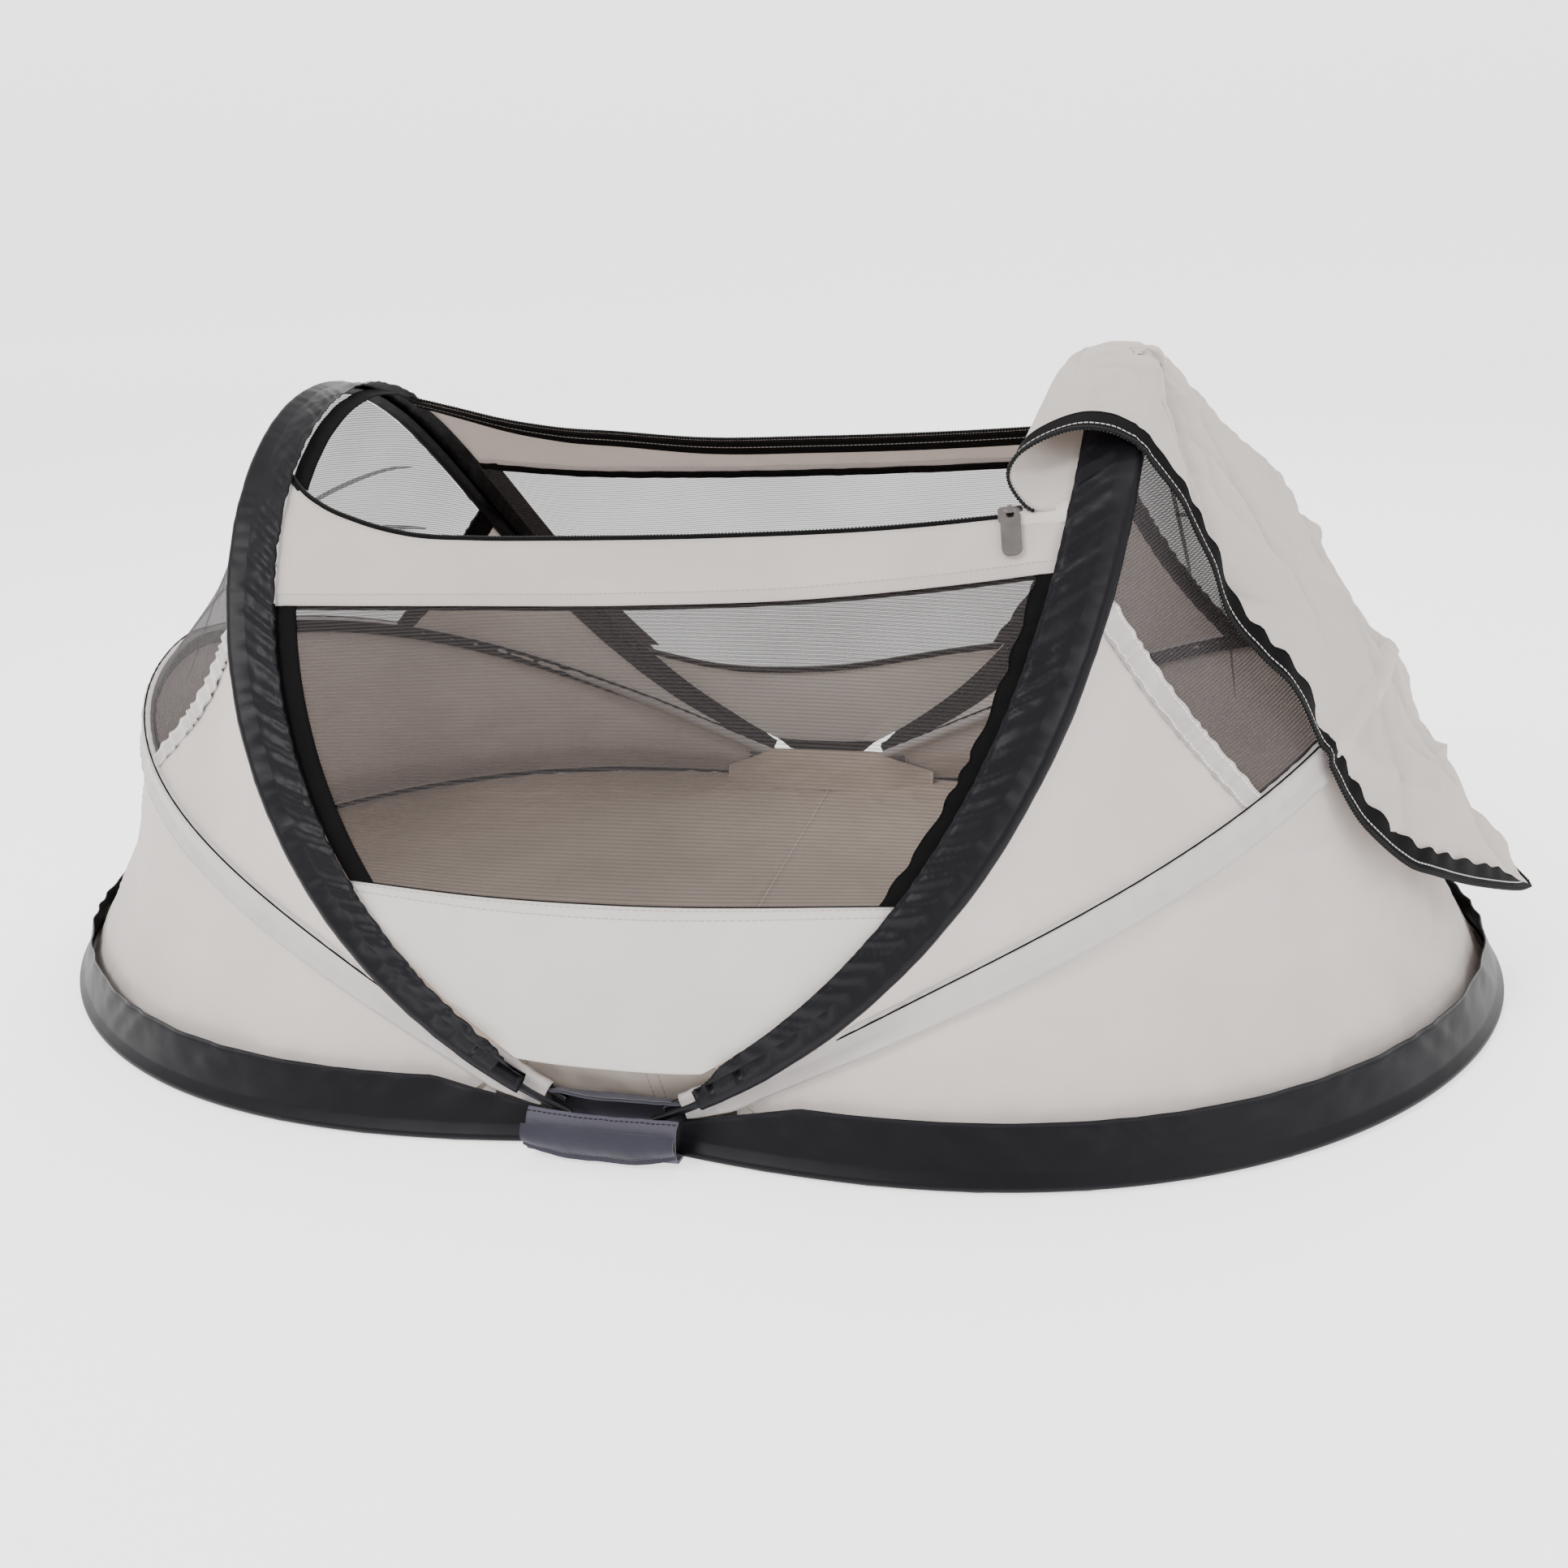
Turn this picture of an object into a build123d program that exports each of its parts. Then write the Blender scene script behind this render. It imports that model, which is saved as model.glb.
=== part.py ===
"""Pop-up travel playpen: three sprung wire loops under sewn fabric, hinged about two wraps."""
from build123d import *
from collections import namedtuple
from math import asin, cos, pi, radians, sin, sqrt
import os

os.makedirs("parts", exist_ok=True)

# Overall shape. X runs along the length, -Y is the front, +Z is up.
HALF_LENGTH = 600.0       # hinge axis to the end of the base ring
HALF_SPAN = 334.0         # middle of the floor to the hinge wraps
HINGE_HEIGHT = 8.0        # axis that all half hoops swing about
LOWER_REACH = 553.0       # hinge axis to the top of a lower hoop
LOWER_SLOPE = 26.0        # angle of a lower hoop above the floor
MAIN_TOP_X = 327.0        # middle of the playpen to the top of a main hoop
MAIN_TOP_Z = 462.0        # floor to the top of a main hoop

# Wire and fabric
WIRE_RADIUS = 2.5
FABRIC = 1.6              # thickness given to every sewn panel
SEAM_GAP = 0.6            # clearance between neighbouring pieces
PANEL_GAP = 3.0           # clearance beside a curved sleeve
WIRE_GAP = WIRE_RADIUS + SEAM_GAP
BASE_SLEEVE = 36.0
MAIN_SLEEVE = 36.0
LOWER_TAPE = 17.0
SLEEVE_SHARE = 0.4        # widest a main sleeve gets, as a share of its distance from the hinge axis
WIRE_SIDE_GAP = WIRE_GAP + 0.5
SEAM_END_GAP = WIRE_GAP + 1.0
WALL_GAP = 3.2            # clearance between a base sleeve and the wall above it

# Cross-sections along each lofted piece
STATIONS = 22
GUSSET_STATIONS = 10
WINDOW_STATIONS = 14
PANEL_STATIONS = 8
SIDE_STATIONS = 10
STRIP_HALF_STATIONS = 6
EDGE_STATIONS = 12

# Where the seams cross the hoops, as turns from the front wrap (0) over the top to the back (pi)
RING_START = 0.02
MAIN_START = 0.10
LOWER_START = 0.03
SLEEVE_START = 0.15
FLOOR_START = 0.03
WALL_START_RING = 0.036
WALL_START_LOWER = 0.034
GUSSET_START_MAIN = 0.42
GUSSET_START_LOWER = 0.27
SEAM_MAIN = 0.90
SEAM_LOWER = 0.785
SEAM_TAPE_GAP = 0.01
SEAM_TAPE_MAIN = 0.055
SEAM_TAPE_LOWER = 0.05
WINDOW_INSET = 0.01       # from the far edge of a seam tape to the mesh window
PANEL_FOOT = 0.19
PANEL_HEM = 0.48
WINDOW_HEM = 0.93
HEM_GAP = 0.006
STRIP_GAP = 0.01
RIM_END = 1.20

# Rim of the roof opening: a shallow arc that the zip slider follows
RIM_MIDDLE_Y = 171.0
RIM_MIDDLE_Z = 373.0
RIM_RADIUS = 2018.0
RIM_REACH = 264.0
RIM_TAPE = 9.0
TOOTH = 2.6
SLIDER_X = 246.0

# Zip slider and pull tab
SLIDER_LENGTH = 16.0
SLIDER_HEIGHT = 11.0
SLIDER_CORNER = 2.5
SLIDER_SHELL = 1.6
SLIDER_RISE = 0.6         # middle of the slider above the edge of the tape
CHANNEL = TOOTH / 2 + 0.5
BRIDGE_OFFSET = 1.0
BRIDGE_SPAN = 6.0
BRIDGE_HEIGHT = 4.6
BRIDGE_WIDTH = 3.0
BRIDGE_HOLE = 3.0
PIVOT_HEIGHT = 1.7        # slider's face to the bar of the pull tab
BAR_RADIUS = 0.9
BAR_LENGTH = 8.0
TAB_LENGTH = 34.0
TAB_WIDTH = 13.0
TAB_CORNER = 5.0
TAB_THICKNESS = 1.4
TAB_SLOT_WIDTH = 5.0
TAB_SLOT_REACH = 5.0

# Roof flap, thrown back over the right main hoop
CREST_X = 336.0
CREST_Z = 480.0
CURL_RADIUS = 13.0
CURL_X = 262.0
FLAP_FABRIC = 1.6
ROOT_HALF_WIDTH = 132.0
ROOT_SAG = 55.0
ROOT_CLEARANCE = 2.0      # beside the sleeve of the right main hoop
ROOT_HALF_STATIONS = 4
ROOT_TRIM = 4.0           # from the crest back to the end of the root
# Stations down the hanging flap: x, z, lean, half width and sag
FLAP_STATIONS = [
    (CREST_X, CREST_Z, 12, 140, 55),
    (364, 458, 46, 158, 58),
    (430, 372, 55, 192, 60),
    (500, 266, 57, 192, 60),
    (568, 178, 57, 160, 44),
    (606, 114, 58, 110, 22),
    (630, 70, 60, 46, 5),
]

# Floor, skirts and hinge wraps
FLOOR_SEAM_X = 3.0
FLOOR_INSET_X = 30.0
FLOOR_INSET_Y = 34.0
WRAP_LENGTH = 104.0
WRAP_DEPTH = 46.0
WRAP_HEIGHT = 32.0
WRAP_CORNER = 6.0
WRAP_WALL = 2.5
WRAP_MIDDLE = HALF_SPAN + 3.0
COVER_HEIGHT = 24.0
COVER_MIDDLE = 14.0
COVER_CORNER = 4.0
COVER_INSET = 1.0
SKIRT_Y = HALF_SPAN - 27.0
SKIRT_FOOT = 3.0
SKIRT_TOP = 56.0
SKIRT_FOOT_HALF = 58.0
SKIRT_TOP_HALF = 92.0

Hoop = namedtuple("Hoop", "path roundness spread waist")
SIDES = {"right": 1, "left": -1}
FACES = {"front": 1, "back": -1}


def straight_path(reach, slope, height):
    """Control points of a straight line that climbs at slope degrees from the hinge axis."""
    steps = [reach * k / 3 for k in range(4)]
    return [(d * cos(radians(slope)), height + d * sin(radians(slope))) for d in steps]


RING = Hoop(straight_path(HALF_LENGTH, 0, WIRE_RADIUS), 1.97, 2.94, 0.09)
LOWER = Hoop(straight_path(LOWER_REACH, LOWER_SLOPE, HINGE_HEIGHT), 1.5, 3.31, -0.07)
MAIN = Hoop(
    [(0, HINGE_HEIGHT), (45, 29), (MAIN_TOP_X - 17, 119), (MAIN_TOP_X, MAIN_TOP_Z)],
    2.0, 3.06, 0.02,
)


def hoop_point(hoop, turn, side=1):
    """Point on a half hoop: turn 0 is its front end, pi / 2 its top and pi its back end."""
    reach = abs(sin(turn)) ** (2 / hoop.spread)
    weights = [(1 - reach) ** 3, 3 * (1 - reach) ** 2 * reach, 3 * (1 - reach) * reach**2, reach**3]
    x = sum(w * p[0] for w, p in zip(weights, hoop.path))
    z = sum(w * p[1] for w, p in zip(weights, hoop.path))
    depth = HALF_SPAN * abs(cos(turn)) ** (2 / hoop.roundness)
    depth *= 1 + 4 * hoop.waist * reach * (1 - reach)
    return Vector(side * x, -depth if turn < pi / 2 else depth, z)


def hoop_points(hoop, side, start, stop, count=STATIONS):
    """Points evenly spaced along a half hoop between two turns."""
    fine = 30 * count
    turns = [start + (stop - start) * k / fine for k in range(fine + 1)]
    dense = [hoop_point(hoop, turn, side) for turn in turns]
    lengths = [0.0]
    for a, b in zip(dense, dense[1:]):
        lengths.append(lengths[-1] + (b - a).length)
    points = []
    index = 0
    for k in range(count + 1):
        target = lengths[-1] * k / count
        while index < fine - 1 and lengths[index + 1] < target:
            index += 1
        part = (target - lengths[index]) / (lengths[index + 1] - lengths[index])
        points.append(dense[index] + (dense[index + 1] - dense[index]) * part)
    return points


def directions(points):
    """Direction of travel at each point of a chain."""
    before = [points[0]] + points[:-1]
    after = points[1:] + [points[-1]]
    return [(b - a).normalized() for a, b in zip(before, after)]


def tube_sections(points, radius):
    """Circles across a chain of points."""
    sections = []
    for point, ahead in zip(points, directions(points)):
        with BuildSketch(Plane(origin=point, z_dir=ahead)) as section:
            Circle(radius)
        sections.append(section.sketch)
    return sections


def strip_sections(starts, ends, thickness=FABRIC):
    """Thin rectangles that span from each start to its end, for a lofted strip of fabric."""
    middles = [(a + b) / 2 for a, b in zip(starts, ends)]
    sections = []
    for a, b, middle, ahead in zip(starts, ends, middles, directions(middles)):
        across = (b - a).normalized()
        face = ahead.cross(across)
        with BuildSketch(Plane(origin=middle, x_dir=across, z_dir=across.cross(face))) as section:
            Rectangle((b - a).length, thickness)
        sections.append(section.sketch)
    return sections


def between(starts, ends, near, far):
    """Part of each rung from start to end, cut near from its start and far from its end."""
    rungs = list(zip(starts, ends))
    first = [a + (b - a).normalized() * near for a, b in rungs]
    last = [b - (b - a).normalized() * far for a, b in rungs]
    return first, last


def sleeve_width(point):
    """Width of the main sleeve beside a point of a main hoop."""
    return min(MAIN_SLEEVE, abs(point.X) * SLEEVE_SHARE)


def mirror_turn(turn, face):
    """Turn of the matching place on the front (1) or back (-1) of a hoop."""
    return turn if face == 1 else pi - turn


def save(part, name):
    """Name a finished piece and write it."""
    part.label = name
    export_step(part, f"parts/{name}.step")


# Base ring, lower hoops and main hoops: a wire and its sleeve on each side
for side_name, side in SIDES.items():
    ring = hoop_points(RING, side, RING_START, pi - RING_START)
    lower = hoop_points(LOWER, side, LOWER_START, pi - LOWER_START)
    main = hoop_points(MAIN, side, MAIN_START, pi - MAIN_START)

    with BuildPart() as base_wire:
        loft(tube_sections(ring, WIRE_RADIUS), ruled=True)
    save(base_wire.part, f"base_wire_{side_name}")

    with BuildPart() as lower_wire:
        loft(tube_sections(lower, WIRE_RADIUS), ruled=True)
    save(lower_wire.part, f"lower_wire_{side_name}")

    with BuildPart() as main_wire:
        loft(tube_sections(main, WIRE_RADIUS), ruled=True)
    save(main_wire.part, f"main_wire_{side_name}")

    # The main sleeve lies in the side panels and narrows towards the wraps
    outer = hoop_points(MAIN, side, SLEEVE_START, pi - SLEEVE_START)
    inner = [Vector(p.X - side * sleeve_width(p), p.Y, p.Z) for p in outer]
    start = [
        Vector(p.X - side * WIRE_SIDE_GAP / sqrt(1 - ahead.X**2), p.Y, p.Z)
        for p, ahead in zip(outer, directions(outer))
    ]
    with BuildPart() as main_sleeve:
        loft(strip_sections(start, inner), ruled=True)
    save(main_sleeve.part, f"main_sleeve_{side_name}")

# Lower end walls: base sleeve, cream wall and the tape on the lower hoop, from the floor up
for side_name, side in SIDES.items():
    ring = hoop_points(RING, side, WALL_START_RING, pi - WALL_START_RING)
    lower = hoop_points(LOWER, side, WALL_START_LOWER, pi - WALL_START_LOWER)
    spans = [(b - a).length for a, b in zip(ring, lower)]
    sleeve_tops = [
        a + (b - a).normalized() * min(BASE_SLEEVE, span / 2)
        for a, b, span in zip(ring, lower, spans)
    ]
    lifted = [Vector(p.X, p.Y, p.Z + WIRE_RADIUS) for p in sleeve_tops]
    with BuildPart() as base_sleeve:
        loft(strip_sections(*between(ring, lifted, WIRE_GAP, 0)), ruled=True)
    save(base_sleeve.part, f"base_sleeve_{side_name}")

    wall_low = sleeve_tops[1:-1]
    wall_high = lower[1:-1]
    with BuildPart() as end_wall:
        loft(strip_sections(*between(wall_low, wall_high, WALL_GAP, LOWER_TAPE + WIRE_GAP)), ruled=True)
    save(end_wall.part, f"end_wall_{side_name}")

    tape_foot, _ = between(wall_high, wall_low, LOWER_TAPE + WIRE_GAP - SEAM_GAP, 0)
    with BuildPart() as lower_tape:
        loft(strip_sections(*between(tape_foot, wall_high, 0, WIRE_GAP)), ruled=True)
    save(lower_tape.part, f"lower_tape_{side_name}")

# Upper end walls: a mesh window between two cream gussets, with silver seam tapes
for side_name, side in SIDES.items():
    for face_name, face in FACES.items():
        main = hoop_points(
            MAIN, side, mirror_turn(GUSSET_START_MAIN, face), mirror_turn(SEAM_MAIN, face),
            GUSSET_STATIONS)
        lower = hoop_points(
            LOWER, side, mirror_turn(GUSSET_START_LOWER, face), mirror_turn(SEAM_LOWER, face),
            GUSSET_STATIONS)
        with BuildPart() as gusset:
            loft(strip_sections(*between(lower, main, WIRE_GAP, WIRE_GAP)), ruled=True)
        save(gusset.part, f"end_gusset_{face_name}_{side_name}")

        near_main = hoop_point(MAIN, mirror_turn(SEAM_MAIN + SEAM_TAPE_GAP, face), side)
        near_lower = hoop_point(LOWER, mirror_turn(SEAM_LOWER + SEAM_TAPE_GAP, face), side)
        far_main = hoop_point(MAIN, mirror_turn(SEAM_MAIN + SEAM_TAPE_MAIN, face), side)
        far_lower = hoop_point(LOWER, mirror_turn(SEAM_LOWER + SEAM_TAPE_LOWER, face), side)
        near_edge = between([near_lower], [near_main], SEAM_END_GAP, SEAM_END_GAP)
        far_edge = between([far_lower], [far_main], SEAM_END_GAP, SEAM_END_GAP)
        seam_rows = [near_edge[0] + near_edge[1], far_edge[0] + far_edge[1]]
        with BuildPart() as seam:
            loft(strip_sections(*seam_rows), ruled=True)
        save(seam.part, f"end_seam_{face_name}_{side_name}")

    main_turn = SEAM_MAIN + SEAM_TAPE_MAIN + WINDOW_INSET
    lower_turn = SEAM_LOWER + SEAM_TAPE_LOWER + WINDOW_INSET
    main = hoop_points(MAIN, side, main_turn, pi - main_turn, WINDOW_STATIONS)
    lower = hoop_points(LOWER, side, lower_turn, pi - lower_turn, WINDOW_STATIONS)
    with BuildPart() as end_window:
        loft(strip_sections(*between(lower, main, WIRE_GAP, 2 * WIRE_GAP)), ruled=True)
    save(end_window.part, f"end_window_{side_name}")


def side_rows(face, start, stop, count):
    """Straight rungs between the main sleeves, from one turn to another."""
    turns = [start + (stop - start) * k / count for k in range(count + 1)]
    right = [hoop_point(MAIN, mirror_turn(turn, face), 1) for turn in turns]
    inset = [sleeve_width(p) + PANEL_GAP for p in right]
    starts = [Vector(inset_x - p.X, p.Y, p.Z) for p, inset_x in zip(right, inset)]
    ends = [Vector(p.X - inset_x, p.Y, p.Z) for p, inset_x in zip(right, inset)]
    return starts, ends


def rim_rise(x):
    """Height of the rim's arc above its middle, measured in the rim's own plane."""
    return RIM_RADIUS - sqrt(RIM_RADIUS**2 - x**2)


def rim_point(x, drop, face):
    """Point at x on the rim, drop below it within the side panel, which leans in at 45 degrees."""
    climb = (rim_rise(x) - drop) * sqrt(0.5)
    return Vector(x, -face * (RIM_MIDDLE_Y - climb), RIM_MIDDLE_Z + climb)


# Sides: lower cream panel, mesh window, cream top strip and the zip along the roof opening
for face_name, face in FACES.items():
    with BuildPart() as side_panel:
        loft(strip_sections(*side_rows(face, PANEL_FOOT, PANEL_HEM, PANEL_STATIONS)), ruled=True)
    save(side_panel.part, f"side_panel_{face_name}")

    with BuildPart() as side_window:
        loft(strip_sections(*side_rows(face, PANEL_HEM + HEM_GAP, WINDOW_HEM, SIDE_STATIONS)), ruled=True)
    save(side_window.part, f"side_window_{face_name}")

    hem = hoop_point(MAIN, mirror_turn(WINDOW_HEM + STRIP_GAP, face), 1)
    stations = [RIM_REACH * (k / STRIP_HALF_STATIONS - 1) for k in range(2 * STRIP_HALF_STATIONS + 1)]
    strip_low = [Vector(x, hem.Y, hem.Z) for x in stations]
    strip_high = [rim_point(x, RIM_TAPE + SEAM_GAP, face) for x in stations]
    with BuildPart() as side_strip:
        loft(strip_sections(strip_low, strip_high), ruled=True)
    save(side_strip.part, f"side_strip_{face_name}")

    # The zip lies in the rim's plane: a woven tape with a row of teeth along its top edge
    rim_plane = Plane(
        origin=(0, -face * RIM_MIDDLE_Y, RIM_MIDDLE_Z), x_dir=(1, 0, 0),
        z_dir=(0, -sqrt(0.5), face * sqrt(0.5)),
    )
    bands = {FABRIC: (0.0, RIM_TAPE), TOOTH: (-TOOTH, 0.0)}
    with BuildPart() as rim_zip:
        for thickness, (inner_edge, outer_edge) in bands.items():
            with BuildSketch(rim_plane):
                with Locations((0, RIM_RADIUS)):
                    Circle(RIM_RADIUS + outer_edge)
                    Circle(RIM_RADIUS + inner_edge, mode=Mode.SUBTRACT)
                with Locations((0, RIM_TAPE)):
                    Rectangle(2 * RIM_REACH, 8 * RIM_TAPE, mode=Mode.INTERSECT)
            extrude(amount=thickness / 2, both=True)
    save(rim_zip.part, f"rim_zip_{face_name}")

# Zip along the left end of the opening, sewn to the inner edge of the left main sleeve
edge = hoop_points(MAIN, -1, RIM_END, pi - RIM_END, EDGE_STATIONS)
outer = [Vector(p.X + MAIN_SLEEVE + SEAM_GAP, p.Y, p.Z) for p in edge]
inner = [Vector(p.X + RIM_TAPE, p.Y, p.Z) for p in outer]
with BuildPart() as rim_zip_end:
    loft(strip_sections(outer, inner), ruled=True)
save(rim_zip_end.part, "rim_zip_end")

# Floor: two halves that meet at a seam on the hinge line
for side_name, side in SIDES.items():
    share_x, share_y = 1 - FLOOR_INSET_X / HALF_LENGTH, 1 - FLOOR_INSET_Y / HALF_SPAN
    ring = hoop_points(RING, side, FLOOR_START, pi - FLOOR_START)
    edge = [(p.X * share_x, p.Y * share_y) for p in ring]
    seam_x = FLOOR_SEAM_X + (SEAM_GAP if side == 1 else 0)
    outline = [(seam_x, edge[0][1])] + edge + [(seam_x, edge[-1][1])]
    with BuildPart() as floor:
        with BuildSketch(Plane.XY):
            with BuildLine():
                Polyline(*outline, close=True)
            make_face()
        extrude(amount=FABRIC)
    save(floor.part, f"floor_{side_name}")

# Inner skirts: the cream cloth behind each wrap
for face_name, face in FACES.items():
    with BuildPart() as skirt:
        with BuildSketch(Plane.XZ.offset(face * SKIRT_Y)):
            with BuildLine():
                Polyline(
                    (-SKIRT_FOOT_HALF, SKIRT_FOOT), (SKIRT_FOOT_HALF, SKIRT_FOOT),
                    (SKIRT_TOP_HALF, SKIRT_TOP), (-SKIRT_TOP_HALF, SKIRT_TOP), close=True)
            make_face()
        extrude(amount=FABRIC / 2, both=True)
    save(skirt.part, f"skirt_{face_name}")

# Hinge wraps: padded covers, open below, that hold all the hoop ends together
for face_name, face in FACES.items():
    with BuildPart() as hinge_wrap:
        with BuildSketch(Plane.YZ.offset(-WRAP_LENGTH / 2)):
            with Locations((-face * WRAP_MIDDLE, WRAP_HEIGHT / 2)):
                Rectangle(WRAP_DEPTH, WRAP_HEIGHT)
            with Locations((-face * WRAP_MIDDLE, WRAP_HEIGHT / 2 - WRAP_WALL)):
                Rectangle(WRAP_DEPTH - 2 * WRAP_WALL, WRAP_HEIGHT, mode=Mode.SUBTRACT)
        extrude(amount=WRAP_LENGTH)
        top = hinge_wrap.edges().filter_by(Axis.X).group_by(Axis.Z)[-1]
        fillet(top, radius=WRAP_CORNER)
    save(hinge_wrap.part, f"hinge_wrap_{face_name}")

    cover_y = WRAP_MIDDLE + WRAP_DEPTH / 2 + SEAM_GAP
    with BuildPart() as wrap_cover:
        with BuildSketch(Plane.XZ.offset(face * (cover_y + WRAP_WALL / 2))):
            with Locations((0, COVER_MIDDLE)):
                RectangleRounded(WRAP_LENGTH - 2 * COVER_INSET, COVER_HEIGHT, COVER_CORNER)
        extrude(amount=WRAP_WALL / 2, both=True)
    save(wrap_cover.part, f"wrap_cover_{face_name}")


def crescent_sections(stations):
    """Thin arched strips across Y, one for each (x, z, lean, half width, sag) station."""
    sections = []
    for x, z, lean, half_width, sag in stations:
        outward = (sin(radians(lean)), 0, cos(radians(lean)))
        ahead = (cos(radians(lean)), 0, -sin(radians(lean)))
        plane = Plane(origin=(x, 0, z), x_dir=(0, 1, 0), z_dir=ahead)
        rise = 1 if plane.y_dir.dot(Vector(*outward)) > 0 else -1
        with BuildSketch(plane) as section:
            with BuildLine():
                outer = ThreePointArc(
                    (-half_width, -rise * sag), (0, 0), (half_width, -rise * sag))
                inner = ThreePointArc(
                    (-half_width, -rise * (sag + FLAP_FABRIC)), (0, -rise * FLAP_FABRIC),
                    (half_width, -rise * (sag + FLAP_FABRIC)))
                Line(outer @ 0, inner @ 0)
                Line(outer @ 1, inner @ 1)
            make_face()
        sections.append(section.sketch)
    return sections


# Roof flap: its root curls over beside the right main hoop, and the rest hangs outside the end
curl_top = CREST_Z - 1
curl_foot = curl_top - 2 * CURL_RADIUS
root_left = MAIN_TOP_X - MAIN_SLEEVE - ROOT_CLEARANCE
with BuildPart() as flap_root:
    for k in range(-ROOT_HALF_STATIONS, ROOT_HALF_STATIONS + 1):
        y = ROOT_HALF_WIDTH * k / ROOT_HALF_STATIONS
        drop = ROOT_SAG * (k / ROOT_HALF_STATIONS) ** 2
        with BuildSketch(Plane.XZ.offset(-y)):
            with BuildLine():
                bottom = Line((root_left, curl_foot - drop), (CURL_X, curl_foot - drop))
                bend = RadiusArc(bottom @ 1, (CURL_X, curl_top - drop), CURL_RADIUS)
                top = Line(bend @ 1, (CREST_X - ROOT_TRIM, curl_top - drop))
                lip = Line(top @ 1, top @ 1 - (0, FLAP_FABRIC))
                under = Line(lip @ 1, (CURL_X, curl_top - drop - FLAP_FABRIC))
                hollow = RadiusArc(
                    under @ 1, (CURL_X, curl_foot - drop + FLAP_FABRIC), FLAP_FABRIC - CURL_RADIUS)
                floor_line = Line(hollow @ 1, (root_left, curl_foot - drop + FLAP_FABRIC))
                Line(floor_line @ 1, bottom @ 0)
            make_face()
    loft(ruled=True)
save(flap_root.part, "flap_root")

with BuildPart() as roof_flap:
    loft(crescent_sections(FLAP_STATIONS), ruled=True)
save(roof_flap.part, "roof_flap")

# Zip slider: a channel that rides on the front teeth, with a bridge for its pull tab
slider_turn = asin(SLIDER_X / RIM_RADIUS)
along = Vector(cos(slider_turn), sin(slider_turn) * sqrt(0.5), sin(slider_turn) * sqrt(0.5))
panel_normal = Vector(0, -sqrt(0.5), sqrt(0.5))
slider_plane = Plane(origin=rim_point(SLIDER_X, 0, 1), x_dir=along, z_dir=panel_normal)
slider_face = CHANNEL + SLIDER_SHELL
bridge_foot = slider_plane.from_local_coords((0, BRIDGE_OFFSET, slider_face))
with BuildPart() as zip_slider:
    with BuildSketch(slider_plane.offset(-slider_face)):
        with Locations((0, SLIDER_RISE)):
            RectangleRounded(SLIDER_LENGTH, SLIDER_HEIGHT, SLIDER_CORNER)
    extrude(amount=2 * slider_face)
    with BuildSketch(slider_plane.offset(-CHANNEL)):
        with Locations((0, SLIDER_RISE - SLIDER_SHELL - SLIDER_HEIGHT / 2)):
            Rectangle(2 * SLIDER_LENGTH, 2 * SLIDER_HEIGHT)
    extrude(amount=2 * CHANNEL, mode=Mode.SUBTRACT)
    with BuildSketch(Plane(origin=bridge_foot, x_dir=slider_plane.y_dir, z_dir=along)):
        with Locations((0, BRIDGE_HEIGHT / 2)):
            Rectangle(BRIDGE_SPAN, BRIDGE_HEIGHT)
        with Locations((0, PIVOT_HEIGHT)):
            Rectangle(BRIDGE_HOLE, 2 * PIVOT_HEIGHT, mode=Mode.SUBTRACT)
    extrude(amount=BRIDGE_WIDTH / 2, both=True)
save(zip_slider.part, "zip_slider")

# Pull tab: a round bar through the bridge, and a plate that hangs down over the panel
pivot = bridge_foot + panel_normal * PIVOT_HEIGHT
tab_plane = Plane(origin=pivot, x_dir=along, z_dir=panel_normal)
with BuildPart() as zip_pull_tab:
    with BuildSketch(tab_plane):
        with Locations((0, BAR_RADIUS - TAB_LENGTH / 2)):
            RectangleRounded(TAB_WIDTH, TAB_LENGTH, TAB_CORNER)
        Rectangle(TAB_SLOT_WIDTH, 2 * TAB_SLOT_REACH, mode=Mode.SUBTRACT)
    extrude(amount=TAB_THICKNESS / 2, both=True)
    with BuildSketch(Plane(origin=pivot, x_dir=slider_plane.y_dir, z_dir=along)):
        Circle(BAR_RADIUS)
    extrude(amount=BAR_LENGTH / 2, both=True)
save(zip_pull_tab.part, "zip_pull_tab")
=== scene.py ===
"""Pop-up travel playpen: sewn cloth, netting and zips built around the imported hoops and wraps."""

import bpy
from collections import namedtuple
from math import cos, pi, radians, sin, sqrt
import numpy as np
from mathutils import Matrix, Vector


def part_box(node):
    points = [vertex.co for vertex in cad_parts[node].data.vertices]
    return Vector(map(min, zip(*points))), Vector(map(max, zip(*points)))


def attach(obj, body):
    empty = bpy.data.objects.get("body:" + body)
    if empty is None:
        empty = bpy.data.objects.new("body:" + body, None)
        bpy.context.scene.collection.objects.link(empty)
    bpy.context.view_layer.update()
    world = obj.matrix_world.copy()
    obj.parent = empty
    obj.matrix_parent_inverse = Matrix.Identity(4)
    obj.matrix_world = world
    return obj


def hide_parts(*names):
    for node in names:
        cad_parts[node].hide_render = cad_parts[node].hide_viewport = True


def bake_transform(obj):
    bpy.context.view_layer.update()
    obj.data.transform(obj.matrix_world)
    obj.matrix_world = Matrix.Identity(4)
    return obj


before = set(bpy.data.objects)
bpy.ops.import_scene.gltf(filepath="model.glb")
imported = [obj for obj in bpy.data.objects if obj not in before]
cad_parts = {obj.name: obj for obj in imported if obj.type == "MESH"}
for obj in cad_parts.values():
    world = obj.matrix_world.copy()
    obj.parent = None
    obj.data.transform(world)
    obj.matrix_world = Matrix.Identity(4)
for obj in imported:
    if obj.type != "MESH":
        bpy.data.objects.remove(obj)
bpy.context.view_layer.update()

MM = 0.001
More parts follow.
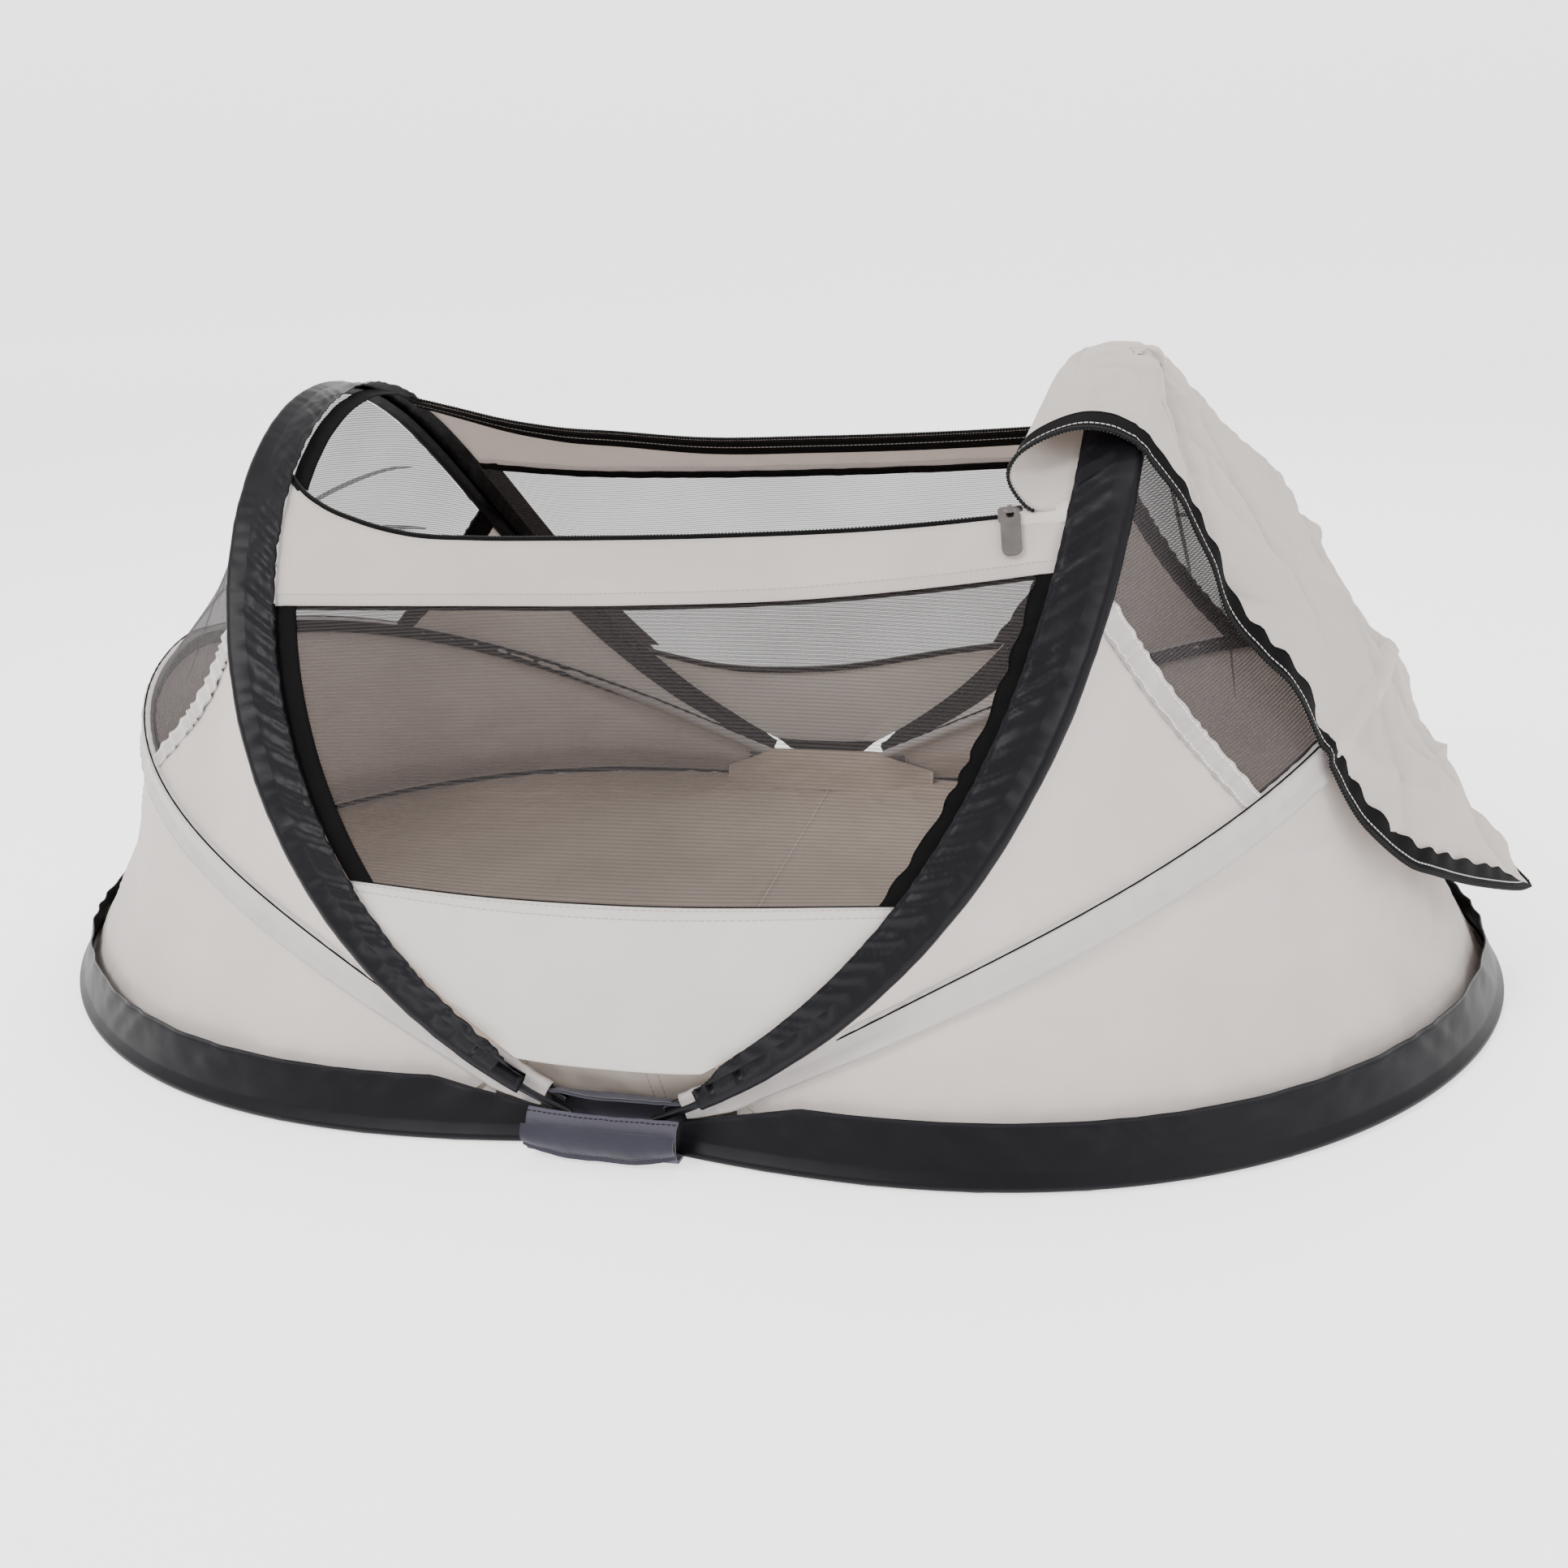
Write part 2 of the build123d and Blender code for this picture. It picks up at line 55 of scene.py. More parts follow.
HALF_LENGTH = float(max(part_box("base_wire_right")[1])) - 2.5 * MM
HALF_SPAN = 334 * MM
SIDES = {"right": 1, "left": -1}
FACES = {"front": -1, "back": 1}
BOTH, FLAP_PAIR = ("hoops_left", "hoops_right"), ("hoops_right", "flap")
CORE = np.array((0.0, 0.0, 0.16))      # a point inside the playpen, for outward directions
Hoop = namedtuple("Hoop", "path roundness spread waist")


def straight(reach, slope, height):
    """Control points of a straight line that climbs at slope degrees from the hinge axis."""
    steps = [reach * k / 3 for k in range(4)]
    return [(d * cos(radians(slope)), height + d * sin(radians(slope))) for d in steps]


RING = Hoop(straight(HALF_LENGTH, 0, 2.5 * MM), 1.97, 2.94, 0.09)
LOWER = Hoop(straight(553 * MM, 26, 8 * MM), 1.5, 3.31, -0.07)
MAIN = Hoop([(0, 0.008), (0.045, 0.029), (0.310, 0.119), (0.327, 0.462)], 2.0, 3.06, 0.02)


# ---------------------------------------------------------------- geometry helpers
def hoop(shape, turn, side=1):
    """Points of a half hoop: turn 0 is its front end, pi / 2 its top and pi its back end."""
    turn = np.asarray(turn, float)
    r = np.abs(np.sin(turn)) ** (2 / shape.spread)
    weights = [(1 - r) ** 3, 3 * (1 - r) ** 2 * r, 3 * (1 - r) * r**2, r**3]
    x = sum(w * p[0] for w, p in zip(weights, shape.path))
    z = sum(w * p[1] for w, p in zip(weights, shape.path))
    depth = HALF_SPAN * np.abs(np.cos(turn)) ** (2 / shape.roundness)
    depth = depth * (1 + 4 * shape.waist * r * (1 - r))
    return np.stack([side * x, np.where(turn < pi / 2, -depth, depth), z], -1)


def even(shape, start, stop, count):
    """Turns that divide a half hoop into count steps of equal length."""
    turns = np.linspace(start, stop, 3000)
    points = hoop(shape, turns)
    length = np.r_[0, np.cumsum(np.linalg.norm(np.diff(points, axis=0), axis=1))]
    return np.interp(np.linspace(0, length[-1], count + 1), length, turns)


def unit(v):
    return v / np.maximum(np.linalg.norm(v, axis=-1, keepdims=True), 1e-12)


def smooth_line(points, count):
    """count points evenly along a smooth curve through the given points."""
    p = np.asarray(points, float)
    ghost = np.vstack([2 * p[0] - p[1], p, 2 * p[-1] - p[-2]])
    out = []
    for k in range(len(p) - 1):
        a, b, c, d = ghost[k:k + 4]
        t = np.linspace(0, 1, 24, endpoint=False)[:, None]
        out.append(0.5 * (2 * b + (c - a) * t + (2 * a - 5 * b + 4 * c - d) * t**2
                          + (3 * b - a - 3 * c + d) * t**3))
    fine = np.vstack(out + [p[-1:]])
    length = np.r_[0, np.cumsum(np.linalg.norm(np.diff(fine, axis=0), axis=1))]
    at = np.linspace(0, length[-1], count)
    return np.stack([np.interp(at, length, fine[:, k]) for k in range(fine.shape[1])], -1)


def clamp(value):
    return np.clip(value, 0, 1)


def unit_steps(count):
    """Shares from 0 to 1 across a grid, as a row."""
    return np.linspace(0, 1, count)[None, :]


def between(a, b, columns):
    """A grid of points that runs straight from each point of a to its partner in b."""
    return a[:, None] + (b - a)[:, None] * np.linspace(0, 1, columns)[None, :, None]


def measured(points):
    """A grid's distance along it, from its first column and from its last."""
    return along(points), *lengths(points)


def eased(near, far, reach):
    """0 at both edges of a sheet, and 1 from reach metres in."""
    return np.minimum(1, np.minimum(near, far) / reach)


def normals(points, inside=CORE):
    """Outward unit normals of a grid of points."""
    n = unit(np.cross(np.gradient(points, axis=0), np.gradient(points, axis=1)))
    if inside is not None and ((points - inside) * n).sum() < 0:
        n = -n
    return n


def lengths(points):
    """Distance of each grid point from the grid's first column, and from its last."""
    steps = np.linalg.norm(np.diff(points, axis=1), axis=-1)
    near = np.concatenate([np.zeros((len(points), 1)), np.cumsum(steps, 1)], 1)
    return near, near[:, -1:] - near


def along(points):
    """Distance of each row from the first row, the same for the whole row."""
    steps = np.linalg.norm(np.diff(points, axis=0), axis=-1).mean(1)
    return np.r_[0, np.cumsum(steps)][:, None] * np.ones(points.shape[1])


def waves(u, v, size, seed, octaves=3, stretch=(1, 1)):
    """Smooth noise from -1 to 1 over metre coordinates, with features about size across."""
    rng = np.random.default_rng(seed)
    total = np.zeros_like(u)
    for k in range(octaves):
        for _ in range(5):
            angle, phase = rng.uniform(0, pi), rng.uniform(0, 2 * pi)
            f = 2 * pi / size * 1.8**k * rng.uniform(0.7, 1.3)
            warp = 0.8 * np.sin(f * 0.37 * (u * sin(angle) * stretch[0] - v * cos(angle)) + phase)
            total += 0.62**k * np.sin(
                f * (u * cos(angle) * stretch[0] + v * sin(angle) * stretch[1]) + phase + warp)
    return total / 5


def creases(u, v, size, seed, stretch=(1, 1)):
    """Sharp narrow folds with broad soft ground between them, from 0 to 1."""
    return np.exp(-9 * np.abs(waves(u, v, size, seed, 2, stretch)))


def folds(u, v, count, seed, reach, height):
    """Straight sharp folds of cloth, each fading at its ends, height metres high and about reach long."""
    rng = np.random.default_rng(seed)
    total = np.zeros_like(u)
    for _ in range(count):
        at_u, at_v = rng.uniform(u.min(), u.max()), rng.uniform(v.min(), v.max())
        angle, size = rng.uniform(-1.2, 1.2), reach * rng.uniform(0.5, 1.3)
        along_fold = (u - at_u) * cos(angle) + (v - at_v) * sin(angle)
        off = (v - at_v) * cos(angle) - (u - at_u) * sin(angle) + 0.12 * along_fold**2 / size
        total += (height * rng.uniform(-0.7, 1) * np.exp(-np.abs(off) / (0.055 * reach))
                  * np.exp(-(along_fold / size) ** 2))
    return total


def gathers(u, v, pitch, seed, slant=0.0):
    """Uneven pleats across u, from 0 to 1, slanting by slant metres for each metre of v."""
    w = u + slant * v
    phase = 2 * pi * w / pitch + 1.6 * np.sin(2 * pi * w / (pitch * 5.3) + seed)
    phase += 1.1 * np.sin(2 * pi * w / (pitch * 2.7) + 2 * seed) + 9 * v
    return (0.5 + 0.5 * np.sin(phase)) ** 1.5


def mesh_from(name, verts, faces, maps=None, material=None):
    """A mesh object from vertices and faces, with UV maps in metres."""
    data = bpy.data.meshes.new(name)
    data.from_pydata(verts.tolist(), [], faces if isinstance(faces, list) else faces.tolist())
    data.validate()
    if maps:
        index = np.empty(len(data.loops), int)
        data.loops.foreach_get("vertex_index", index)
        for title, uv in maps.items():
            layer = data.uv_layers.new(name=title)
            layer.data.foreach_set("uv", uv[index].astype(np.float32).ravel())
    data.polygons.foreach_set("use_smooth", [True] * len(data.polygons))
    item = bpy.data.objects.new(name, data)
    bpy.context.scene.collection.objects.link(item)
    if material:
        data.materials.append(material)
    data.update()
    return item


def quads(rows, columns, first=0, wrap=False):
    """Faces of a grid whose vertices start at first."""
    index = np.arange(rows * columns).reshape(rows, columns) + first
    if wrap:
        index = np.hstack([index, index[:, :1]])
    return np.stack([index[:-1, :-1], index[1:, :-1], index[1:, 1:], index[:-1, 1:]], -1).reshape(-1, 4)


def place(item, bodies, nodes):
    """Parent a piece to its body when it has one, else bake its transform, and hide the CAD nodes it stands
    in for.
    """
    if len(bodies) == 1:
        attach(item, bodies[0])
    else:
        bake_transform(item)
    if nodes:
        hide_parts(*nodes)
    return item


def cloth(name, points, material, bodies, weights=None, nodes=(), lift=None, thick=0.9,
          inside=CORE, held=None):
    """A sewn sheet over a grid of points, with real thickness in mm and a lift along its normals."""
    flat = points
    n = normals(points, inside)
    if lift is not None:
        points = points + n * lift[..., None]
        n = normals(points, inside)
    rows, columns = points.shape[:2]
    near, far = lengths(flat)
    run = along(flat)
    uv, uv_far = np.stack([run, near], -1).reshape(-1, 2), np.stack([run, far], -1).reshape(-1, 2)
    if thick:
        half = n * (thick * MM / 2)
        verts = np.concatenate([(points + half).reshape(-1, 3), (points - half).reshape(-1, 3)])
        count = rows * columns
        top, low = quads(rows, columns), quads(rows, columns, count)[:, ::-1]
        index = np.arange(count).reshape(rows, columns)
        rim = np.concatenate([index[0], index[1:, -1], index[-1, -2::-1], index[-2:0:-1, 0]])
        ahead = np.roll(rim, -1)
        sides = np.stack([ahead, rim, rim + count, ahead + count], -1)
        faces = np.concatenate([top, low, sides])
        if (normals(points, None) * n).sum() < 0:
            faces = faces[:, ::-1]
        uv, uv_far = np.tile(uv, (2, 1)), np.tile(uv_far, (2, 1))
        double = 2
    else:
        verts, faces, double = points.reshape(-1, 3), quads(rows, columns), 1
        if (normals(points, None) * n).sum() < 0:
            faces = faces[:, ::-1]
    item = mesh_from(name, verts, faces, {"UVMap": uv, "Far": uv_far}, material=material)
    if weights is not None:
        weights = np.tile(np.broadcast_to(weights, (rows, columns)).ravel(), double)
    place(item, bodies, nodes)
    if held:
        width, length = float(run[-1, 0]), float(near[:, -1].max())
        a, b = np.diff(flat, axis=0)[:, :-1], np.diff(flat, axis=1)[:-1]
        area = float(np.linalg.norm(np.cross(a, b), axis=-1).sum())
        width, length = round(max(width, area / length), 4), round(length, 4)
    return item


def tube(name, path, radius, material, bodies, weights=None, nodes=(), sides=8):
    """A round tube along a path, with one radius or one for each point."""
    path = np.asarray(path, float)
    t = unit(np.gradient(path, axis=0))
    up = unit(np.cross(t, np.array((0.31, 0.87, 0.23))))
    out = np.cross(t, up)
    a = np.linspace(0, 2 * pi, sides, endpoint=False)
    r = np.broadcast_to(radius, len(path))[:, None, None]
    around = np.cos(a)[None, :, None] * up[:, None] + np.sin(a)[None, :, None] * out[:, None]
    points = path[:, None] + r * around
    rows = len(path)
    caps = [np.arange(sides)[::-1], np.arange(sides) + (rows - 1) * sides]
    faces = quads(rows, sides, wrap=True).tolist() + [c.tolist() for c in caps]
    item = mesh_from(name, points.reshape(-1, 3), faces, material=material)
    if weights is not None:
        weights = np.repeat(np.broadcast_to(weights, len(path)), sides)
    return place(item, bodies, nodes)


def beads(path, pitch=2.4, low=1.0, high=1.7):
    """A path resampled at a quarter of the tooth pitch, and the beaded radius of a coil zip along it."""
    step = np.linalg.norm(np.diff(path, axis=0), axis=1).sum()
    count = int(step / (pitch * MM / 4))
    fine = smooth_line(path, count)
    return fine, (low + (high - low) * np.abs(np.sin(np.arange(count) * pi / 4))) * MM


# ---------------------------------------------------------------- materials
class Graph:
    """A new material, with short calls that add nodes and join them."""

    def __init__(self, name, roughness=None, specular=None):
        self.material = bpy.data.materials.new(name)
        self.material.use_nodes = True
        self.nodes = self.material.node_tree.nodes
        self.shader = self.nodes["Principled BSDF"]
        if roughness is not None:
            self.feed(self.shader, {"Roughness": roughness, "Specular IOR Level": specular})

    def feed(self, node, inputs):
        """Sets or joins a node's inputs."""
        for title, value in inputs.items():
            if isinstance(value, bpy.types.NodeSocket):
                self.material.node_tree.links.new(value, node.inputs[title])
            else:
                node.inputs[title].default_value = value

    def add(self, kind, inputs):
        node = self.nodes.new("ShaderNode" + kind)
        self.feed(node, inputs)
        return node

    def calc(self, kind, *values, clamp=False):
        """A maths node on one or two values."""
        node = self.add("Math", dict(enumerate(values)))
        node.operation, node.use_clamp = kind, clamp
        return node.outputs[0]

    def total(self, first, second, gain=1.0):
        """first plus gain times second."""
        return self.calc("ADD", first, self.calc("MULTIPLY", second, gain))

    def noise(self, inputs):
        inputs["Vector"] = self.add("TexCoord", {}).outputs["Object"]
        return self.add("TexNoise", inputs).outputs["Fac"]

    def metres(self, title):
        """Distances along and across a sheet, from one of its UV maps."""
        uv = self.add("UVMap", {})
        uv.uv_map = title
        return self.add("SeparateXYZ", {0: uv.outputs[0]}).outputs[:2]

    def wave(self, source, pitch):
        return self.calc("SINE", self.calc("MULTIPLY", source, 2 * pi / (pitch * MM)))

    def ramp(self, factor, colors, positions=(0, 1)):
        node = self.add("ValToRGB", {0: factor})
        for element, color, position in zip(node.color_ramp.elements, colors, positions):
            element.position, element.color = position, [*color, 1]
        return node.outputs[0]

    def mix(self, mask, first, second, kind="MIX"):
        node = self.add("Mix", {})
        node.data_type, node.blend_type = "RGBA", kind
        self.feed(node, {0: mask, 6: first, 7: (*second, 1)})
        return node.outputs[2]

    def bump(self, height, strength, distance):
        """Relief of a given depth in mm on the main shader."""
        relief = self.add("Bump", {"Strength": strength, "Distance": distance * MM, "Height": height})
        self.feed(self.shader, {"Normal": relief.outputs[0]})
        return relief.outputs[0]


def shades(color, low, high):
    """A darker and a lighter colour, neither over 1."""
    return [[min(1, c * gain) for c in color] for gain in (low, high)]


GRAIN = 0.9                            # how strongly the weave stands out
HEM_SHADE = 0.95                        # painted shade: a folded hem is painted a little darker than its sheet
STITCH_WIDTH, STITCH_PITCH, STITCH_SHARE, GROOVE_WIDTH = 0.45 * MM, 3.6 * MM, 0.74, 1.8 * MM


def fabric(name, color, roughness=0.62, vary=0.05, sheen=0.0, stitches=(), far_stitches=(),
           thread=(0.85, 0.84, 0.82), hem=None, weave=0.55, crinkle=0.0, seep=0.0, scale=1.0,
           specular=0.5):
    """Woven cloth: weave and crinkle relief, mottled colour, light that seeps through, and sewn
    lines at distances in mm from the sheet's near edge (stitches) and far edge (far_stitches)."""
    g = Graph(name, roughness, specular)
    if sheen:
        g.feed(g.shader, {"Sheen Weight": sheen, "Sheen Roughness": 0.4})
    (run, near), (_, far) = g.metres("UVMap"), g.metres("Far")
    # Colour: two scales of mottling
    broad = g.noise({"Scale": 14 * scale, "Detail": 3})
    fine = g.noise({"Scale": 900, "Detail": 2})
    mottle = g.calc("ADD", g.calc("MULTIPLY", broad, 0.7), g.calc("MULTIPLY", fine, 0.3))
    tint = g.ramp(mottle, shades(color, 1 - vary, 1 + vary), (0.3, 0.7))
    # Relief: crossed threads, fine grain and soft crinkles
    woven = g.calc("MULTIPLY", g.wave(run, weave), g.wave(near, weave))
    height = g.total(g.calc("MULTIPLY", woven, 0.12 * GRAIN), fine, 0.25 * GRAIN)
    if crinkle:
        soft = g.noise({"Scale": 55 * scale, "Detail": 4, "Distortion": 0.6})
        height = g.total(height, soft, crinkle * 4)
    # Sewn lines: dashes of thread in a shallow groove
    for source, distance in [(near, d) for d in stitches] + [(far, d) for d in far_stitches]:
        offset = g.calc("ABSOLUTE", g.calc("SUBTRACT", source, distance * MM))
        dash = g.calc("LESS_THAN", g.calc("FRACT", g.calc("DIVIDE", run, STITCH_PITCH)), STITCH_SHARE)
        mask = g.calc("MULTIPLY", g.calc("LESS_THAN", offset, STITCH_WIDTH), dash)
        tint = g.mix(mask, tint, thread)
        dip = g.calc("SUBTRACT", 1.0, g.calc("DIVIDE", offset, GROOVE_WIDTH), clamp=True)
        height = g.calc("SUBTRACT", height, g.calc("MULTIPLY", dip, 1.6))
        height = g.total(height, mask, 0.7)
    # Hem band: raised relief, and painted shade that darkens it a little
    if hem:
        band = g.calc("LESS_THAN", far if hem < 0 else near, abs(hem) * MM)
        tint = g.mix(band, tint, (HEM_SHADE,) * 3, "MULTIPLY")
        height = g.total(height, band, 1.4)
    g.feed(g.shader, {"Base Color": tint})
    relief = g.bump(height, 0.25, 0.4)
    if seep:
        glow = g.add("BsdfTranslucent", {"Color": tint, "Normal": relief})
        mixer = g.add("MixShader", {0: seep, 1: g.shader.outputs[0], 2: glow.outputs[0]})
        g.feed(g.nodes["Material Output"], {0: mixer.outputs[0]})
    return g.material


def netting(name, color, cover, pitch=2.6, cross=1.3):
    """See-through knitted mesh: fine ribs along u, with painted highlight on their crests and painted shade
    between them, finer threads across, and gaps that show through.
    """
    g = Graph(name, 0.75, 0.25)
    run, near = g.metres("UVMap")
    cloud = g.noise({"Scale": 9, "Detail": 4})
    rib, thread = g.wave(near, pitch), g.wave(run, cross)
    alpha = g.total(g.calc("MULTIPLY", rib, 0.14), thread, 0.05)
    alpha = g.calc("ADD", g.total(alpha, cloud, 0.12), cover - 0.06, clamp=True)
    # Painted highlight on the rib crests and painted shade in the grooves between them
    ribs = g.calc("ADD", g.calc("MULTIPLY", rib, 0.35), 0.5)
    g.feed(g.shader, {"Base Color": g.ramp(ribs, shades(color, 0.75, 1.35)), "Alpha": alpha})
    g.bump(rib, 0.3, 0.5)
    return g.material


def metal(name, color, roughness, brushed=60):
    """Cast or drawn metal with fine scratches and soft colour variation."""
    g = Graph(name)
    fine = g.noise({"Scale": brushed * 12, "Detail": 4})
    rough = g.calc("ADD", g.calc("MULTIPLY", fine, 0.18), roughness - 0.09)
    g.feed(g.shader, {"Metallic": 1.0, "Base Color": g.ramp(fine, shades(color, 0.82, 1.1)),
                      "Roughness": rough})
    g.bump(fine, 0.12, 0.1)
    return g.material


CREAM = (0.72, 0.665, 0.635)
WARM = (0.62, 0.545, 0.49)
NAVY = (0.0042, 0.0040, 0.0062)
BLACK = (0.0028, 0.0025, 0.0028)
DARK_THREAD = (0.006, 0.006, 0.01)
GREY_THREAD = (0.50, 0.46, 0.44)
cream = fabric("cream_cloth", CREAM, crinkle=0.12, seep=0.25, specular=0.3)
cream_strip = fabric("cream_strip", CREAM, stitches=(8.5,), hem=8.0, crinkle=0.12, seep=0.4,
                     thread=GREY_THREAD, specular=0.3)
cream_panel = fabric("cream_panel", (0.76, 0.725, 0.69), far_stitches=(8.5, 2.0), hem=-9.0,
                     crinkle=0.12, seep=0.25, thread=GREY_THREAD, specular=0.3)
flap_cloth = fabric("flap_cloth", (0.69, 0.635, 0.60), crinkle=0.5, seep=0.32, vary=0.03, specular=0.35)
skirt_cloth = fabric("skirt_cloth", WARM, crinkle=0.10, stitches=(55, 140, 148, 220),
                     thread=(0.40, 0.34, 0.30))
floor_cloth = fabric("floor_cloth", (0.64, 0.54, 0.46), crinkle=0.5, vary=0.09, specular=0.3)
navy = fabric("navy_satin", NAVY, roughness=0.40, crinkle=0.35, vary=0.2, scale=1.6, specular=0.17,
              thread=DARK_THREAD, far_stitches=(3.0,))
navy_base = fabric("navy_base", NAVY, roughness=0.42, crinkle=0.4, vary=0.2, scale=1.4, specular=0.15,
                   thread=DARK_THREAD, far_stitches=(2.0,))
silver = fabric("silver_tape", (0.50, 0.465, 0.45), roughness=0.36, crinkle=0.6, vary=0.12, scale=2,
                stitches=(2.5,), far_stitches=(2.5,), thread=(0.8, 0.79, 0.78), specular=0.6)
lower_silver = fabric("lower_tape", (0.50, 0.47, 0.465), roughness=0.45, crinkle=0.5, vary=0.08, scale=2,
                      specular=0.4)
black_tape = fabric("black_tape", BLACK, roughness=0.75, vary=0.3, crinkle=0.1, weave=0.9, specular=0.08)
zip_tape = fabric("zip_tape", BLACK, roughness=0.7, vary=0.3, weave=1.0, stitches=(5.0,),
                  thread=(0.55, 0.54, 0.53), specular=0.08)
zip_tape_back = fabric("zip_tape_back", BLACK, roughness=0.7, vary=0.3, weave=1.0, stitches=(9.0,),
                       thread=(0.55, 0.54, 0.53), specular=0.08)
teeth_mat = fabric("zip_teeth", (0.005, 0.005, 0.0055), roughness=0.5, vary=0.2, specular=0.14)
mesh = netting("dark_mesh", (0.036, 0.031, 0.031), cover=0.54)
mesh_back = netting("back_mesh", (0.050, 0.046, 0.050), cover=0.72)
mesh_end = netting("end_mesh", (0.050, 0.044, 0.046), cover=0.74, pitch=2.2)
wrap_mat = fabric("wrap_cloth", (0.072, 0.070, 0.092), roughness=0.8, sheen=0.15, vary=0.15, weave=1.1,
                  crinkle=0.15, stitches=(3.0,), thread=DARK_THREAD, specular=0.2)
cover_mat = fabric("cover_cloth", (0.030, 0.029, 0.042), roughness=0.8, sheen=0.15, vary=0.15, weave=1.1,
                   crinkle=0.15, far_stitches=(4.0, 6.5), thread=DARK_THREAD, specular=0.2)
steel = metal("spring_wire", (0.03, 0.03, 0.034), 0.42)
zinc = metal("zip_metal", (0.20, 0.185, 0.18), 0.26, 8)

# ---------------------------------------------------------------- camera, light and floor
CAMERA = Vector((0.3471, -1.1218, 0.5730))
AZIMUTH, ELEVATION, ROLL = radians(15.285), radians(20.863), radians(-3.411)
right = Vector((cos(AZIMUTH), sin(AZIMUTH), 0))
back = Vector((sin(AZIMUTH) * cos(ELEVATION), -cos(AZIMUTH) * cos(ELEVATION), sin(ELEVATION)))
axes = Matrix((right, back.cross(right), back)).transposed().to_4x4()
lens = bpy.data.cameras.new("camera")
lens.sensor_width, lens.lens = 36, 34.18
camera = bpy.data.objects.new("camera", lens)
camera.matrix_world = Matrix.Translation(CAMERA) @ axes @ Matrix.Rotation(ROLL, 4, "Z")
bpy.context.scene.collection.objects.link(camera)
bpy.context.scene.camera = camera

world = bpy.data.worlds.new("studio")
world.use_nodes = True
world.node_tree.nodes["Background"].inputs[0].default_value = (1.0, 0.985, 0.975, 1)
world.node_tree.nodes["Background"].inputs[1].default_value = 1.15
bpy.context.scene.world = world


def lamp(name, place_at, aim, size, power, tone=(1, 0.98, 0.96)):
    data = bpy.data.lights.new(name, "AREA")
    data.shape, data.size, data.energy, data.color = "SQUARE", size, power, tone
    item = bpy.data.objects.new(name, data)
    item.location = place_at
    item.rotation_euler = (Vector(aim) - Vector(place_at)).to_track_quat("-Z", "Y").to_euler()
    bpy.context.scene.collection.objects.link(item)


lamp("key", (-1.5, -2.0, 2.9), (0, 0, 0.1), 1.2, 85)
lamp("fill", (2.6, -1.6, 1.6), (0.1, 0, 0.2), 1.8, 24)
lamp("top", (0.4, 1.2, 2.6), (0, 0, 0), 1.6, 45)

ground = Graph("studio_floor")
ground_noise = ground.add("TexNoise", {"Scale": 2}).outputs["Fac"]
ground.feed(ground.shader, {"Roughness": 0.9, "Emission Color": (1, 1, 1, 1), "Emission Strength": 1.3,
                            "Base Color": ground.ramp(ground_noise, [(0.90,) * 3, (0.94,) * 3])})
# The floor runs back flat and then sweeps up, with no line between floor and wall
SWEEP_ROWS, SWEEP_BELOW = 90, 0.0004
sweep = smooth_line([(-9, 0), (-4, 0), (1, 0), (5.5, 0), (7.6, 0.25), (9.0, 1.2), (9.8, 3.0), (10, 6)],
                    SWEEP_ROWS)
across, back = np.meshgrid(np.linspace(-16, 16, 3), sweep[:, 0])
rise = np.maximum(sweep[:, 1:], 0) - SWEEP_BELOW + 0 * across
mesh_from("ground", np.stack([across, back, rise], -1).reshape(-1, 3),
                   quads(SWEEP_ROWS, 3)[:, ::-1], material=ground.material)


# ---------------------------------------------------------------- sleeves around the wires
SHEET, NYLON, TAPE, NET = 0.8, 0.9, 0.7, 0     # thickness in mm; netting is a single sheet
BAND_START, BAND_OFF = 2.3, 0.25       # where a sleeve's flat band begins, in wire radii


def cased_profile(center, ahead, toward, out, radius, width, columns):
    """Rows of a folded sleeve: round the wire, then a flat band of the given widths beyond it."""
    toward = unit(toward - (toward * ahead).sum(-1, keepdims=True) * ahead)
    across = np.cross(ahead, toward)
    out = unit(across) * np.sign((across * out).sum(-1, keepdims=True))
    start, off = BAND_START * radius, out * (BAND_OFF * radius)
    rows = [center + toward * start - off]
    for angle in np.radians(np.linspace(-72, -360 + 72, 11)):
        rows.append(center + radius * (cos(angle) * toward + sin(angle) * out))
    for part in np.linspace(0, 1, columns):
        rows.append(center + toward * (start + (width - start) * part)[:, None] + off)
    return np.stack(rows, 1)


